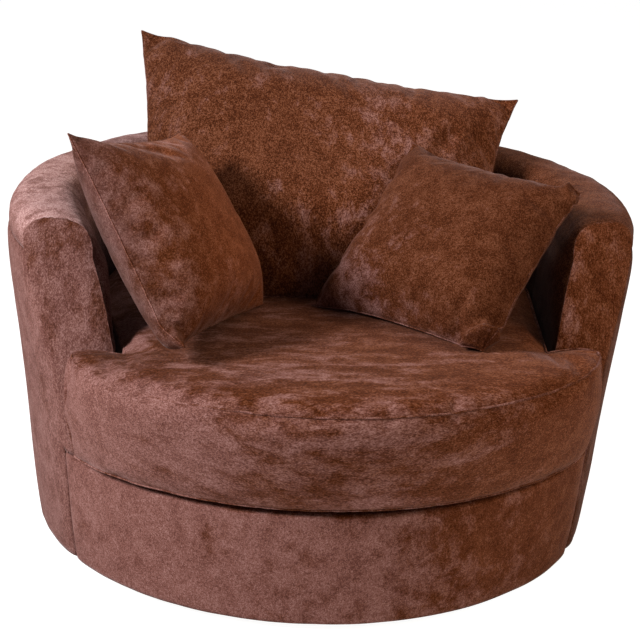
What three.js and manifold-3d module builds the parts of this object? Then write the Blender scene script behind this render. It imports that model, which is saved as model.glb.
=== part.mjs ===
// Round swivel cuddle chair: an upholstered tub on a flat turntable, with a loose T-shaped seat
// cushion, one large back cushion and two scatter cushions. Millimetres, +Z up, the chair faces -Y,
// and the swivel axis is the Z axis. Angles called phi run around the tub from its front (-Y).

import * as THREE from 'three';
import { mergeVertices } from 'three/addons/utils/BufferGeometryUtils.js';
import Module from 'manifold-3d';

const wasm = await Module();
wasm.setup();

const degrees = Math.PI / 180;
const { lerp, clamp } = THREE.MathUtils;

// Fits between pieces
const seatGap = 0.3;
const boreGap = 0.3;
const sideGap = 6;
const overrun = 60;
const mergeDistance = 0.005;

// The tub: its outside is turned about a centre a little behind the swivel axis
const chairWidth = 1220;
const railRadius = chairWidth / 2;
const tubCentreY = 26;
const rollHeight = 612;
const rollRise = 60;
const railHeight = rollHeight + rollRise;
const rollPower = 2.7;

// How far the outside draws in below the rail, at four heights
const seatSeamHeight = 459;
const seatSeamSetIn = 12;
const deckEdgeHeight = 250;
const deckEdgeSetIn = 33;
const baseMiddleHeight = 140;
const baseMiddleSetIn = 42;
const hemHeight = 15;
const hemSetIn = 57;
const hemRadius = railRadius - hemSetIn;

// The inside of the tub: round at the back, its sides drawing in towards the front
const wallThickness = 136;
const insideFlare = 35;
const insideRadius = railRadius - deckEdgeSetIn - wallThickness;
const insideRailRadius = insideRadius + insideFlare;
const sideTaperShare = 0.115;

// Covers, wadding and boards
const coverThickness = 2;
const panelThickness = 3;
const wallFoamThickness = 36;
const facingPadThickness = 20;
const boardThickness = 18;
const ribWidth = 44;
const ribClearance = 1;
const ribAngles = [90, 135, 180, 225, 270].map((angle) => angle * degrees);

// The turntable and its feet
const glideHeight = 12;
const glideRadius = 20;
const glideSetIn = 35;
const floorBoardRadius = 300;
const glideCircle = floorBoardRadius - glideSetIn;
const glideCount = 4;
const raceThickness = 5;
const raceSpacing = 2.4;
const raceFlange = 18;
const trackRadius = 125;
const trackHalfWidth = 9;
const ballRadius = 3.5;
const ballCount = 12;
const cageHalfWidth = 6;
const cageThickness = 1;
const grooveShare = 1.9;
const screwCount = 3;
const screwHeadRadius = 4;
const screwHeadHeight = 2;
const screwShankRadius = 2;
const screwLength = 14;

// The deck under the seat cushion
const deckHeight = 240;
const deckRingLap = 111;
const deckRingInside = insideRadius - deckRingLap;
const deckPadThickness = 10;
const deckPadEase = 11;
const deckPadRadius = insideRadius - deckPadEase;
const deckPadFrontSetIn = 85;
const deckPadFrontRadius = railRadius - deckPadFrontSetIn;
const deckPadFrontAngle = 46 * degrees;
const deckFlange = 72;
const springCount = 5;
const springSpacing = 100;
const springLap = 50;
const springReach = deckRingInside + springLap;
const springSwing = 22;
const springWire = 3.4;
const springBends = 12;
const springFlatShares = [0.25, 0.75];

// The arm facings: upright below the knee, leaning back above it. They stand where the rail,
// narrowing to the front, comes down to the arm's front thickness.
const armFrontThickness = 43;
const taperAngle = Math.atan(sideTaperShare);
const facingAngle = Math.asin(
  insideRailRadius / (railRadius - armFrontThickness) * Math.cos(taperAngle),
) - taperAngle;
const facingInnerRadius = insideRadius / (Math.sin(facingAngle) + sideTaperShare * Math.cos(facingAngle));
const facingInner = new THREE.Vector2(
  facingInnerRadius * Math.sin(facingAngle),
  tubCentreY - facingInnerRadius * Math.cos(facingAngle),
);
const facingSweep = 22 * degrees;
const facingLean = 17 * degrees;
const facingKneeHeight = 440;
const facingReach = 400;
const armLead = 2 * degrees;
const armStart = facingAngle - armLead;
const baseSeamAngle = 60 * degrees;

// The seat cushion: its front is a shallower arc than the tub and leans forward at the top
const seatTopFrontEase = 16.6;
const seatBottomFrontEase = -17;
const seatTopFrontRadius = railRadius - seatTopFrontEase;
const seatBottomFrontRadius = railRadius - seatBottomFrontEase;
const seatBottomSetBack = 78;
const seatLobeSetIn = 120;
const seatLobeDraft = 10;
const seatLobeTopX = railRadius - seatLobeSetIn;
const seatLobeBottomX = seatLobeTopX - seatLobeDraft;
const seatLobeTrimShare = 0.2;
const seatCrown = 22;
const seatCrownFall = 170;
const seatBorderBulge = 8;
const seatFacingGap = 4;
const coreEase = 2;
const seatNotchBow = 95;
const seatBackEndAngle = 35 * degrees;
const zipWidth = 4;
const zipThickness = 1.5;

// The loose pillows, lying back on the seat cushion. The back cushion is taller on the left, and
// its foot is drawn in to fit between the arms.
const backPillow = {
  topWidth: 804, footWidth: 690, leftHeight: 666, rightHeight: 494, offset: 63, thickness: 200,
  lean: 52 * degrees, turn: 0, roll: 0, footShares: { x: -0.034, y: -0.136 },
  pullShares: { top: 0.03, bottom: 0.01, left: 0.03, right: 0.08 },
};
const leftScatter = {
  topWidth: 407, footWidth: 407, leftHeight: 407, rightHeight: 362, offset: 0, thickness: 140,
  lean: 31 * degrees, turn: 66 * degrees, roll: -6 * degrees, footShares: { x: -0.49, y: -0.652 },
  pullShares: { top: 0.07, bottom: 0.05, left: 0.07, right: 0.07 },
};
const rightScatter = {
  topWidth: 401, footWidth: 401, leftHeight: 398, rightHeight: 388, offset: 0, thickness: 140,
  lean: 48.6 * degrees, turn: -42.3 * degrees, roll: -1.7 * degrees,
  footShares: { x: 0.276, y: -0.591 },
  pullShares: { top: 0.07, bottom: 0.05, left: 0.07, right: 0.07 },
};
const pillowCrownPower = 0.62;
const pillowSteps = 8;
const zipSteps = 2;

// Steps used for round shapes
const turnSteps = 48;
const rollSteps = 6;
const roundSides = 12;
const screwSides = 8;
const ballSides = 6;
const ballRows = 4;

const step = 2 * Math.PI / turnSteps;
const cavityGap = coverThickness + seatGap;

// Colours of the finishes
const finishes = {
  chenille: [0x7a4a3a, 0.9, 0],
  foam: [0xd9c789, 0.95, 0],
  fibre: [0xe8e4da, 0.95, 0],
  felt: [0x6d6a63, 0.95, 0],
  ply: [0xc49a62, 0.7, 0],
  hardboard: [0x8a6038, 0.75, 0],
  steel: [0xa8abad, 0.35, 1],
  nylon: [0x1d1c1b, 0.5, 0],
};

const chair = new THREE.Group();

function addPiece(name, geometry, finish, parent = chair) {
  const [color, roughness, metalness] = finishes[finish];
  const material = new THREE.MeshStandardMaterial({ color, roughness, metalness });
  const mesh = new THREE.Mesh(geometry, material);
  mesh.name = name;
  parent.add(mesh);
  return mesh;
}

// Joins and cuts

function solid(geometry) {
  const bare = geometry.clone();
  bare.deleteAttribute('normal');
  bare.deleteAttribute('uv');
  const merged = mergeVertices(bare, mergeDistance);
  return new wasm.Manifold(new wasm.Mesh({
    numProp: 3,
    vertProperties: Float32Array.from(merged.attributes.position.array),
    triVerts: Uint32Array.from(merged.index.array),
  }));
}

function geometryOf(body) {
  const mesh = body.getMesh();
  const geometry = new THREE.BufferGeometry();
  geometry.setAttribute('position', new THREE.BufferAttribute(mesh.vertProperties, 3));
  geometry.setIndex(new THREE.BufferAttribute(mesh.triVerts, 1));
  return geometry;
}

function fromTriangles(points, triangles) {
  const geometry = new THREE.BufferGeometry().setFromPoints(points);
  geometry.setIndex(triangles);
  return geometry;
}

// Shapes that several pieces share

function around(phi, radius, z) {
  return new THREE.Vector3(radius * Math.sin(phi), tubCentreY - radius * Math.cos(phi), z);
}

// A solid through rings of points. Each ring runs anticlockwise as seen from before the first one.
// A quad is split the same way whichever way its line runs, so that nested skins stay parallel.
function loft(rings, outline) {
  const size = rings[0].length;
  const triangles = [];
  const falls = outline(0).map((p, i, line) => {
    const next = line[(i + 1) % size];
    return p.x > next.x || (p.x === next.x && p.y > next.y);
  });
  for (let k = 0; k + 1 < rings.length; k++) {
    for (let i = 0; i < size; i++) {
      const next = (i + 1) % size;
      const [a, b] = [k * size + i, k * size + next];
      const [c, d] = [(k + 1) * size + next, (k + 1) * size + i];
      triangles.push(...(falls[i] ? [a, c, b, a, d, c] : [a, d, b, d, c, b]));
    }
  }
  const last = (rings.length - 1) * size;
  for (const [a, b, c] of THREE.ShapeUtils.triangulateShape(outline(0), [])) triangles.push(a, b, c);
  for (const [a, b, c] of THREE.ShapeUtils.triangulateShape(outline(rings.length - 1), [])) {
    triangles.push(last + a, last + c, last + b);
  }
  return fromTriangles(rings.flat(), triangles);
}

// A wall that follows the tub: section(phi) gives its outline as (radius, height) points. An end
// that lies between two steps stays on the flat facet between them.
function sweep(section, from, to) {
  const onStep = (k) => section(k * step).map((p) => around(k * step, p.x, p.y));
  const ringAt = (turns) => {
    const k = Math.floor(turns);
    const next = onStep(k + 1);
    return onStep(k).map((p, i) => p.lerp(next[i], turns - k));
  };
  const turns = [from / step];
  for (let k = Math.floor(from / step) + 1; k < to / step - mergeDistance; k++) {
    if (k > turns[0] + mergeDistance) turns.push(k);
  }
  turns.push(to / step);
  return loft(turns.map(ringAt), (k) => section(turns[k] * step));
}

function through(stops, z) {
  for (let i = 0; i + 1 < stops.length; i++) {
    const [z0, r0] = stops[i];
    const [z1, r1] = stops[i + 1];
    if (z <= z1 || i + 2 === stops.length) return lerp(r0, r1, (z - z0) / (z1 - z0));
  }
  return stops[0][1];
}

const outsideStops = [
  [hemHeight, hemSetIn], [baseMiddleHeight, baseMiddleSetIn],
  [deckEdgeHeight, deckEdgeSetIn], [seatSeamHeight, seatSeamSetIn], [rollHeight, 0],
].map(([z, setIn]) => [z, railRadius - setIn]);
const outsideAt = (z) => through(outsideStops, z);

function insideAt(phi, z) {
  const plain = z < seatSeamHeight ? insideRadius
    : lerp(insideRadius, insideRailRadius, (z - seatSeamHeight) / (rollHeight - seatSeamHeight));
  const front = Math.cos(phi);
  return front <= 0 ? plain : plain / (Math.abs(Math.sin(phi)) + sideTaperShare * front);
}

const point = (x, y) => new THREE.Vector2(x, y);

// The cover's line: up the outside, over the roll and down the inside, drawn in by an inset
function outsideLine(inset, low, high = rollHeight) {
  const levels = outsideStops.map(([z]) => z).filter((z) => z > low && z < high);
  return [low, ...levels, high].map((z) => point(outsideAt(z) - inset, z));
}

function rollLine(phi, inset) {
  const outer = railRadius - inset;
  const inner = insideAt(phi, rollHeight) + inset;
  const line = [];
  const squared = (share) => Math.sign(share) * Math.abs(share) ** (2 / rollPower);
  for (let k = 0; k <= rollSteps; k++) {
    const angle = Math.PI * k / rollSteps;
    line.push(point(
      (outer + inner) / 2 + (outer - inner) / 2 * squared(Math.cos(angle)),
      rollHeight + (railHeight - rollHeight - inset) * squared(Math.sin(angle)),
    ));
  }
  return line;
}

function insideLine(phi, inset, low, high = rollHeight) {
  return [high, seatSeamHeight, low].map((z) => point(insideAt(phi, z) + inset, z));
}

const strip = (line, back) => [...line, ...back.reverse()];

const wallFoot = deckHeight + coverThickness + 2 * seatGap;
const cavityStart = Math.ceil(facingAngle / step) * step;
const fullTurn = 2 * Math.PI;
const bothEnds = (start) => [start, fullTurn - start];

// What lies in front of an arm's facing, drawn back by a depth, above a height
function beforeFacing(depth, low) {
  const rise = railHeight + overrun - facingKneeHeight;
  const outline = new THREE.Shape([
    point(-depth, low), point(railRadius, low), point(railRadius, facingKneeHeight + rise),
    point(-depth - rise * Math.tan(facingLean), facingKneeHeight + rise),
    point(-depth, facingKneeHeight),
  ]);
  const geometry = new THREE.ExtrudeGeometry(outline, {
    depth: facingReach + 2 * overrun, bevelEnabled: false,
  });
  const outward = new THREE.Vector3(Math.cos(facingSweep), Math.sin(facingSweep), 0);
  const forward = new THREE.Vector3(Math.sin(facingSweep), -Math.cos(facingSweep), 0);
  const place = new THREE.Matrix4().makeBasis(
    forward, new THREE.Vector3(0, 0, 1), outward.clone().negate(),
  );
  place.setPosition(outward.multiplyScalar(facingReach).add(
    new THREE.Vector3(facingInner.x, facingInner.y, 0),
  ));
  return solid(geometry.applyMatrix4(place));
}

function beforeFacingOn(side, depth, low) {
  const right = beforeFacing(depth, low);
  return side > 0 ? right : right.mirror([1, 0, 0]);
}

function cutAtFacings(geometry, depth, low = wallFoot) {
  return [1, -1].reduce(
    (rest, side) => rest.subtract(beforeFacingOn(side, depth, low)), solid(geometry),
  );
}

// The slice of one side's wall between two depths behind its facing
function facingSlice(section, start, near, far, side) {
  const [from, to] = side > 0 ? [start, Math.PI] : [Math.PI, fullTurn - start];
  return geometryOf(solid(sweep(section, from, to))
    .intersect(beforeFacingOn(side, far, 0)).subtract(beforeFacingOn(side, near, 0)));
}

function disc(radius, low, high, centreY = 0) {
  const geometry = new THREE.CylinderGeometry(radius, radius, high - low, turnSteps);
  return geometry.rotateX(Math.PI / 2).translate(0, centreY, (low + high) / 2);
}

function ring(profile, centreY = 0) {
  const line = [...profile, profile[0]].map(([r, z]) => point(r, z));
  return new THREE.LatheGeometry(line, turnSteps).rotateX(Math.PI / 2).translate(0, centreY, 0);
}

function rod(radius, low, high, x, y, sides = roundSides) {
  const geometry = new THREE.CylinderGeometry(radius, radius, high - low, sides);
  return geometry.rotateX(Math.PI / 2).translate(x, y, (low + high) / 2);
}

const spread = (count, radius, start = 0) => Array.from({ length: count }, (_, k) => {
  const angle = start + fullTurn * k / count;
  return [radius * Math.cos(angle), radius * Math.sin(angle)];
});

// Turntable: floor board on glides, two steel races and the caged balls between them

const floorBoardTop = glideHeight + boardThickness;
const lowerRaceLow = floorBoardTop + seatGap;
const lowerRaceTop = lowerRaceLow + raceThickness;
const upperRaceLow = lowerRaceTop + raceSpacing;
const upperRaceTop = upperRaceLow + raceThickness;
const ballHeight = (lowerRaceTop + upperRaceLow) / 2;
const bottomBoardLow = upperRaceTop + seatGap;
const bottomBoardTop = bottomBoardLow + boardThickness;
const lowerScrewCircle = trackRadius + trackHalfWidth + raceFlange / 2;
const upperScrewCircle = trackRadius - trackHalfWidth - raceFlange / 2;
const pilotDepth = screwLength - raceThickness + boreGap;

function drill(body, places, low, high) {
  return places.reduce((rest, [x, y]) => rest.subtract(
    solid(rod(screwShankRadius + boreGap, low, high, x, y, screwSides)),
  ), body);
}

// A pan-head screw on a race's face, driven along into: 1 upwards, -1 downwards
function screw(x, y, face, into) {
  const under = face - into * seatGap;
  const span = (a, b, radius) => solid(
    rod(radius, Math.min(a, b), Math.max(a, b), x, y, screwSides),
  );
  const head = span(under, under - into * screwHeadHeight, screwHeadRadius);
  const shank = span(
    under - into * screwHeadHeight / 2, under + into * screwLength, screwShankRadius,
  );
  return geometryOf(head.add(shank));
}

const lowerScrews = spread(screwCount, lowerScrewCircle);
const upperScrews = spread(screwCount, upperScrewCircle, Math.PI);

const floorBoard = drill(solid(disc(floorBoardRadius, glideHeight, floorBoardTop)),
  lowerScrews, floorBoardTop - pilotDepth, floorBoardTop + overrun);
addPiece('floor_board', geometryOf(floorBoard), 'ply');

spread(glideCount, glideCircle).forEach(([x, y], k) => {
  addPiece(`glide_${k + 1}`, rod(glideRadius, 0, glideHeight - seatGap, x, y), 'nylon');
});

// One race: a flat ring with a rolled track; up is 1 for the lower race and -1 for the upper
function race(outer, inner, base, up) {
  const face = base + up * raceThickness;
  const grooveDepth = ballRadius - raceSpacing / 2 + seatGap;
  const groove = [[grooveShare, 0], [0, 1], [-grooveShare, 0]];
  const profile = [
    [inner, base], [outer, base], [outer, face],
    ...groove.map(([wideShare, deepShare]) => [
      trackRadius + ballRadius * wideShare, face - up * grooveDepth * deepShare,
    ]),
    [inner, face],
  ];
  return ring(up > 0 ? profile : profile.reverse());
}

const trackOuter = trackRadius + trackHalfWidth;
const trackInner = trackRadius - trackHalfWidth;
const lowerRace = drill(solid(race(trackOuter + raceFlange, trackInner, lowerRaceLow, 1)),
  lowerScrews, lowerRaceLow - overrun, lowerRaceTop + overrun);
addPiece('bearing_lower_race', geometryOf(lowerRace), 'steel');
lowerScrews.forEach(([x, y], k) => {
  addPiece(`lower_race_screw_${k + 1}`, screw(x, y, lowerRaceTop, -1), 'steel');
});

let cage = solid(ring([
  [trackRadius - cageHalfWidth, ballHeight - cageThickness / 2],
  [trackRadius + cageHalfWidth, ballHeight - cageThickness / 2],
  [trackRadius + cageHalfWidth, ballHeight + cageThickness / 2],
  [trackRadius - cageHalfWidth, ballHeight + cageThickness / 2],
]));
for (const [x, y] of spread(ballCount, trackRadius)) {
  const ball = new THREE.SphereGeometry(ballRadius, ballSides, ballRows);
  cage = cage.add(solid(ball.rotateX(Math.PI / 2).translate(x, y, ballHeight)));
}
addPiece('caged_balls', geometryOf(cage), 'steel');

const upperRace = drill(solid(race(trackOuter, trackInner - raceFlange, upperRaceTop, -1)),
  upperScrews, upperRaceLow - overrun, upperRaceTop + overrun);
addPiece('bearing_upper_race', geometryOf(upperRace), 'steel');
upperScrews.forEach(([x, y], k) => {
  addPiece(`upper_race_screw_${k + 1}`, screw(x, y, upperRaceLow, 1), 'steel');
});

// Base of the tub: bottom board, bent rails and the deck ring

const panelGap = cavityGap + panelThickness + seatGap;
const bottomBoard = drill(
  solid(disc(outsideAt(bottomBoardLow) - panelGap, bottomBoardLow, bottomBoardTop, tubCentreY)),
  upperScrews, bottomBoardLow - overrun, bottomBoardLow + pilotDepth);
addPiece('bottom_board', geometryOf(bottomBoard), 'ply');

const ringLow = deckHeight - boardThickness;
addPiece('deck_ring', ring([
  [deckRingInside, ringLow], [outsideAt(ringLow) - panelGap, ringLow],
  [outsideAt(ringLow) - panelGap, deckHeight], [deckRingInside, deckHeight],
], tubCentreY), 'ply');

function bentRail(gap, from, to) {
  const [low, high] = [bottomBoardTop + seatGap, ringLow - seatGap];
  return sweep(() => [
    point(outsideAt(low) - gap - boardThickness, low), point(outsideAt(low) - gap, low),
    point(outsideAt(high) - gap, high), point(outsideAt(high) - gap - boardThickness, high),
  ], from, to);
}

const railEnd = baseSeamAngle - step / 2;
addPiece('front_rail', bentRail(panelGap, -railEnd, railEnd), 'ply');
addPiece('back_rail', bentRail(panelGap, ...bothEnds(baseSeamAngle + step / 2)), 'ply');

// Deck: sinuous springs across the ring with a felt pad over them

function sinuousSpring(x) {
  const half = Math.sqrt(springReach ** 2 - x ** 2);
  const bendLength = 2 * half / springBends;
  const middle = [point(0, -half)];
  for (let k = 0; k < springBends; k++) {
    const side = k % 2 ? -springSwing : springSwing;
    for (const share of springFlatShares) {
      middle.push(point(side, bendLength * (k + share) - half));
    }
  }
  middle.push(point(0, half));
  const shifted = (sign) => middle.map((p, k) => {
    const along = middle[Math.min(k + 1, middle.length - 1)].clone();
    along.sub(middle[Math.max(k - 1, 0)]).normalize().multiplyScalar(sign * springWire / 2);
    return point(x + p.x + along.y, tubCentreY + p.y - along.x);
  });
  const outline = new THREE.Shape([...shifted(1), ...shifted(-1).reverse()]);
  return new THREE.ExtrudeGeometry(outline, { depth: springWire, bevelEnabled: false })
    .translate(0, 0, deckHeight + seatGap);
}

for (let k = 0; k < springCount; k++) {
  const x = (k - (springCount - 1) / 2) * springSpacing;
  addPiece(`seat_spring_${k + 1}`, sinuousSpring(x), 'steel');
}

const deckPadLow = deckHeight + springWire + 2 * seatGap;
const deckPadTop = deckPadLow + deckPadThickness;
const padOutline = Array.from({ length: turnSteps }, (_, k) => {
  const phi = k * step;
  const front = Math.cos(phi) > Math.cos(deckPadFrontAngle);
  const p = around(phi, front ? deckPadFrontRadius : deckPadRadius, 0);
  return point(p.x, p.y);
});
addPiece('deck_pad', new THREE.ExtrudeGeometry(new THREE.Shape(padOutline), {
  depth: deckPadThickness, bevelEnabled: false,
}).translate(0, 0, deckPadLow), 'felt');

// Wall of the tub: boards, ribs and posts, foam over them

const outerPanel = sweep(() => strip(
  outsideLine(cavityGap, hemHeight + seatGap, rollHeight - seatGap),
  outsideLine(cavityGap + panelThickness, hemHeight + seatGap, rollHeight - seatGap),
), ...bothEnds(cavityStart));
const baseFront = sweep(
  () => [
    point(deckRingInside, 0), point(chairWidth, 0),
    point(chairWidth, wallFoot), point(deckRingInside, wallFoot),
  ],
  -baseSeamAngle, baseSeamAngle,
);
const facingDepth = cavityGap + facingPadThickness + seatGap;
addPiece('outer_panel', geometryOf(
  cutAtFacings(outerPanel, facingDepth).subtract(solid(baseFront)),
), 'hardboard');

const innerPanelGap = wallFoamThickness + cavityGap;
const innerPanelBack = innerPanelGap + panelThickness;
addPiece('inner_panel', geometryOf(cutAtFacings(sweep((phi) => strip(
  insideLine(phi, innerPanelBack, wallFoot, rollHeight - seatGap).reverse(),
  insideLine(phi, innerPanelGap, wallFoot, rollHeight - seatGap).reverse(),
), ...bothEnds(cavityStart)), facingDepth)), 'hardboard');

const topRailLow = rollHeight - seatGap - boardThickness;
const topRailSection = (phi) => [
  point(insideAt(phi, rollHeight) + innerPanelBack + seatGap, topRailLow),
  point(outsideAt(topRailLow) - panelGap, topRailLow),
  point(outsideAt(topRailLow) - panelGap, rollHeight - seatGap),
  point(insideAt(phi, rollHeight) + innerPanelBack + seatGap, rollHeight - seatGap),
];
const postDepth = facingDepth + boardThickness;
addPiece('top_rail', geometryOf(cutAtFacings(
  sweep(topRailSection, ...bothEnds(cavityStart)), postDepth + seatGap,
)), 'ply');

ribAngles.forEach((phi, k) => {
  const [low, high] = [deckHeight + seatGap, topRailLow - seatGap];
  const line = outsideLine(panelGap + ribClearance, low, high);
  const back = outsideLine(panelGap + ribClearance + ribWidth, low, high).reverse();
  const outline = new THREE.Shape([...line, ...back]);
  const rib = new THREE.ExtrudeGeometry(outline, { depth: boardThickness, bevelEnabled: false });
  rib.translate(0, 0, -boardThickness / 2).rotateX(Math.PI / 2);
  rib.rotateZ(phi - Math.PI / 2).translate(0, tubCentreY, 0);
  addPiece(`wall_rib_${k + 1}`, rib, 'ply');
});

const cavity = (phi) => strip(
  outsideLine(panelGap, wallFoot, rollHeight - seatGap),
  insideLine(phi, innerPanelBack + seatGap, wallFoot, rollHeight - seatGap).reverse(),
);
const sides = [['left', -1], ['right', 1]];
for (const [name, side] of sides) {
  const post = facingSlice(cavity, cavityStart, facingDepth, postDepth, side);
  addPiece(`arm_post_${name}`, post, 'ply');
}

addPiece('wall_foam', geometryOf(cutAtFacings(sweep((phi) => [
  ...rollLine(phi, cavityGap), ...insideLine(phi, cavityGap, wallFoot).slice(1),
  ...insideLine(phi, wallFoamThickness + coverThickness, wallFoot).reverse(),
], ...bothEnds(cavityStart)), facingDepth)), 'foam');

const wholeWall = (inset) => (phi) => [
  ...outsideLine(inset, wallFoot).slice(0, -1), ...rollLine(phi, inset),
  ...insideLine(phi, inset, wallFoot).slice(1),
];
for (const [name, side] of sides) {
  const section = wholeWall(cavityGap);
  const pad = facingSlice(section, armStart, cavityGap, facingDepth - seatGap, side);
  addPiece(`facing_pad_${name}`, pad, 'foam');
}

// Covers of the tub

addPiece('outer_cover', geometryOf(cutAtFacings(sweep(() => strip(
  outsideLine(0, hemHeight, rollHeight - seatGap),
  outsideLine(coverThickness, hemHeight, rollHeight - seatGap),
), ...bothEnds(cavityStart)), cavityGap).subtract(solid(baseFront))), 'chenille');

addPiece('inner_cover', geometryOf(cutAtFacings(sweep((phi) => strip(
  [...rollLine(phi, 0), ...insideLine(phi, 0, wallFoot).slice(1)],
  [...rollLine(phi, coverThickness), ...insideLine(phi, coverThickness, wallFoot).slice(1)],
), ...bothEnds(armStart)), cavityGap)), 'chenille');

for (const [name, side] of sides) {
  const skin = facingSlice(wholeWall(0), armStart, 0, coverThickness, side);
  addPiece(`facing_cover_${name}`, skin, 'chenille');
}

// The front of the base turns in over the deck ring
const flangeLow = deckHeight + seatGap;
const frontLine = (inset) => [
  ...outsideLine(inset, hemHeight, deckHeight - coverThickness),
  point(outsideAt(deckHeight) - coverThickness - inset, flangeLow + coverThickness - inset),
  point(outsideAt(deckHeight) - deckFlange, flangeLow + coverThickness - inset),
];
const frontEnd = baseSeamAngle - seatGap / hemRadius;
addPiece('base_front_cover', sweep(
  () => strip(frontLine(0), frontLine(coverThickness)), -frontEnd, frontEnd,
), 'chenille');

// A quilted form on a grid of points: a top and a bottom surface and straight sides between
// them. keep(i, j) says which cells of the grid exist.
function grid(rows, columns, keep, top, bottom) {
  const points = [];
  const index = new Map();
  const use = (i, j, level) => {
    const key = `${i},${j},${level}`;
    if (!index.has(key)) {
      index.set(key, points.length);
      points.push(level ? top(i, j) : bottom(i, j));
    }
    return index.get(key);
  };
  const triangles = [];
  const close = (i, j, k, l) => {
    const [a, b, c, d] = [use(i, j, 0), use(k, l, 0), use(k, l, 1), use(i, j, 1)];
    triangles.push(a, b, c, a, c, d);
  };
  for (let i = 0; i < rows; i++) {
    for (let j = 0; j < columns; j++) {
      if (!keep(i, j)) continue;
      const corners = [[i, j], [i, j + 1], [i + 1, j + 1], [i + 1, j]];
      const [a, b, c, d] = corners.map(([k, l]) => use(k, l, 1));
      const [e, f, g, h] = corners.map(([k, l]) => use(k, l, 0));
      triangles.push(a, b, c, a, c, d, e, g, f, e, h, g);
      const beside = [[i - 1, j], [i, j + 1], [i + 1, j], [i, j - 1]];
      beside.forEach(([k, l], edge) => {
        if (k >= 0 && k < rows && l >= 0 && l < columns && keep(k, l)) return;
        close(...corners[edge], ...corners[(edge + 1) % corners.length]);
      });
    }
  }
  return fromTriangles(points, triangles);
}

// Grid points round the outline of the kept cells, in order
function outlineOf(rows, columns, keep) {
  const next = new Map();
  for (let i = 0; i < rows; i++) {
    for (let j = 0; j < columns; j++) {
      if (!keep(i, j)) continue;
      const corners = [[i, j], [i, j + 1], [i + 1, j + 1], [i + 1, j]];
      const beside = [[i - 1, j], [i, j + 1], [i + 1, j], [i, j - 1]];
      beside.forEach(([k, l], edge) => {
        if (k >= 0 && k < rows && l >= 0 && l < columns && keep(k, l)) return;
        next.set(corners[edge].join(), corners[(edge + 1) % corners.length]);
      });
    }
  }
  const loop = [];
  for (let p = next.values().next().value; loop.length < next.size; p = next.get(p.join())) {
    loop.push(p);
  }
  return loop;
}

// Seat cushion. Rows run from the front arc to the back; the two end columns on each side are
// the lobes in front of the arms, and stop at the notch row.

const seatBottom = deckPadTop + seatGap;
const seatFrontY = -tubCentreY - railRadius;
const seatHalfShares = [0, 0.32, 0.62, 0.86, 1];
const lobeShares = [0.75, 1];
const frontRowShares = [0, 0.1, 0.36, 0.7, 1];
const backRowShares = [0.14, 0.38, 0.62, 0.82, 0.94, 1];
const columnShares = [...seatHalfShares, ...lobeShares.map((share) => 1 + share)];
const halfColumns = columnShares.length - 1;
const lobeColumns = lobeShares.length;
const seatColumns = 2 * halfColumns;
const notchRow = frontRowShares.length - 1;
const seatRows = notchRow + backRowShares.length;
const notchX = facingInner.x - sideGap;
const seatBackRadius = insideRadius - sideGap;
const backEndY = tubCentreY + seatBackRadius * Math.cos(seatBackEndAngle);
const rearLineY = (x) => facingInner.y - seatFacingGap / Math.cos(facingSweep)
  + Math.tan(facingSweep) * (x - facingInner.x);

const seatKeep = (i, j) => i < notchRow
  || (j >= lobeColumns && j < seatColumns - lobeColumns);

function seatSideX(y) {
  return y > tubCentreY ? Math.sqrt(seatBackRadius ** 2 - (y - tubCentreY) ** 2)
    : seatBackRadius - sideTaperShare * (tubCentreY - y) - sideGap * (tubCentreY - y) / railRadius;
}

// The plan of the cushion at a level from 0, the bottom seam, to 1, the top seam
function seatPlan(i, j, level) {
  const side = Math.sign(j - halfColumns);
  const share = columnShares[Math.abs(j - halfColumns)];
  const lobeX = lerp(seatLobeBottomX, seatLobeTopX, level);
  const notchSideX = Math.min(notchX, seatSideX(rearLineY(notchX)));
  if (i <= notchRow) {
    const x = share <= 1 ? share * notchSideX : lerp(notchSideX, lobeX, share - 1);
    const radius = lerp(seatBottomFrontRadius, seatTopFrontRadius, level);
    const frontY = seatFrontY + seatBottomSetBack * (1 - level);
    const front = frontY + radius - Math.sqrt(radius ** 2 - x ** 2);
    const bowShare = clamp(1 - (x / notchSideX) ** 2, 0, 1);
    const rear = rearLineY(Math.max(x, notchSideX)) - seatNotchBow * bowShare;
    const trim = share === columnShares[halfColumns] ? seatLobeTrimShare * (rear - front) : 0;
    return point(side * x, lerp(front + trim, rear - trim, frontRowShares[i]));
  }
  const rowShare = backRowShares[i - notchRow - 1];
  const endY = lerp(rearLineY(notchSideX), backEndY, rowShare);
  const middleY = lerp(rearLineY(notchSideX) - seatNotchBow, tubCentreY + seatBackRadius, rowShare);
  const x = share * seatSideX(endY);
  return point(side * x, lerp(middleY, endY, share ** 2));
}

const seatLoop = outlineOf(seatRows, seatColumns, seatKeep);
const loopPlan = (level) => seatLoop.map(([i, j]) => seatPlan(i, j, level));

// The outline drawn in by an inset; at a sharp turn the corner is held back
const sharpTurnShare = 0.5;
function inset(loop, depth) {
  return loop.map((p, k) => {
    const before = loop[(k + loop.length - 1) % loop.length];
    const after = loop[(k + 1) % loop.length];
    const a = p.clone().sub(before).normalize();
    const b = after.clone().sub(p).normalize();
    const across = a.clone().add(b).normalize();
    const reach = depth / Math.max(sharpTurnShare, across.dot(a));
    return point(p.x - across.y * reach, p.y + across.x * reach);
  });
}

function distanceTo(loop, p) {
  return Math.min(...loop.map((a, k) => {
    const b = loop[(k + 1) % loop.length].clone().sub(a);
    const along = clamp(p.clone().sub(a).dot(b) / b.lengthSq(), 0, 1);
    return p.distanceTo(a.clone().addScaledVector(b, along));
  }));
}

const topLoop = loopPlan(1);
function crownAt(p) {
  const share = clamp(distanceTo(topLoop, p) / seatCrownFall, 0, 1);
  return seatCrown * Math.sqrt(1 - (1 - share) ** 2);
}

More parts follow.
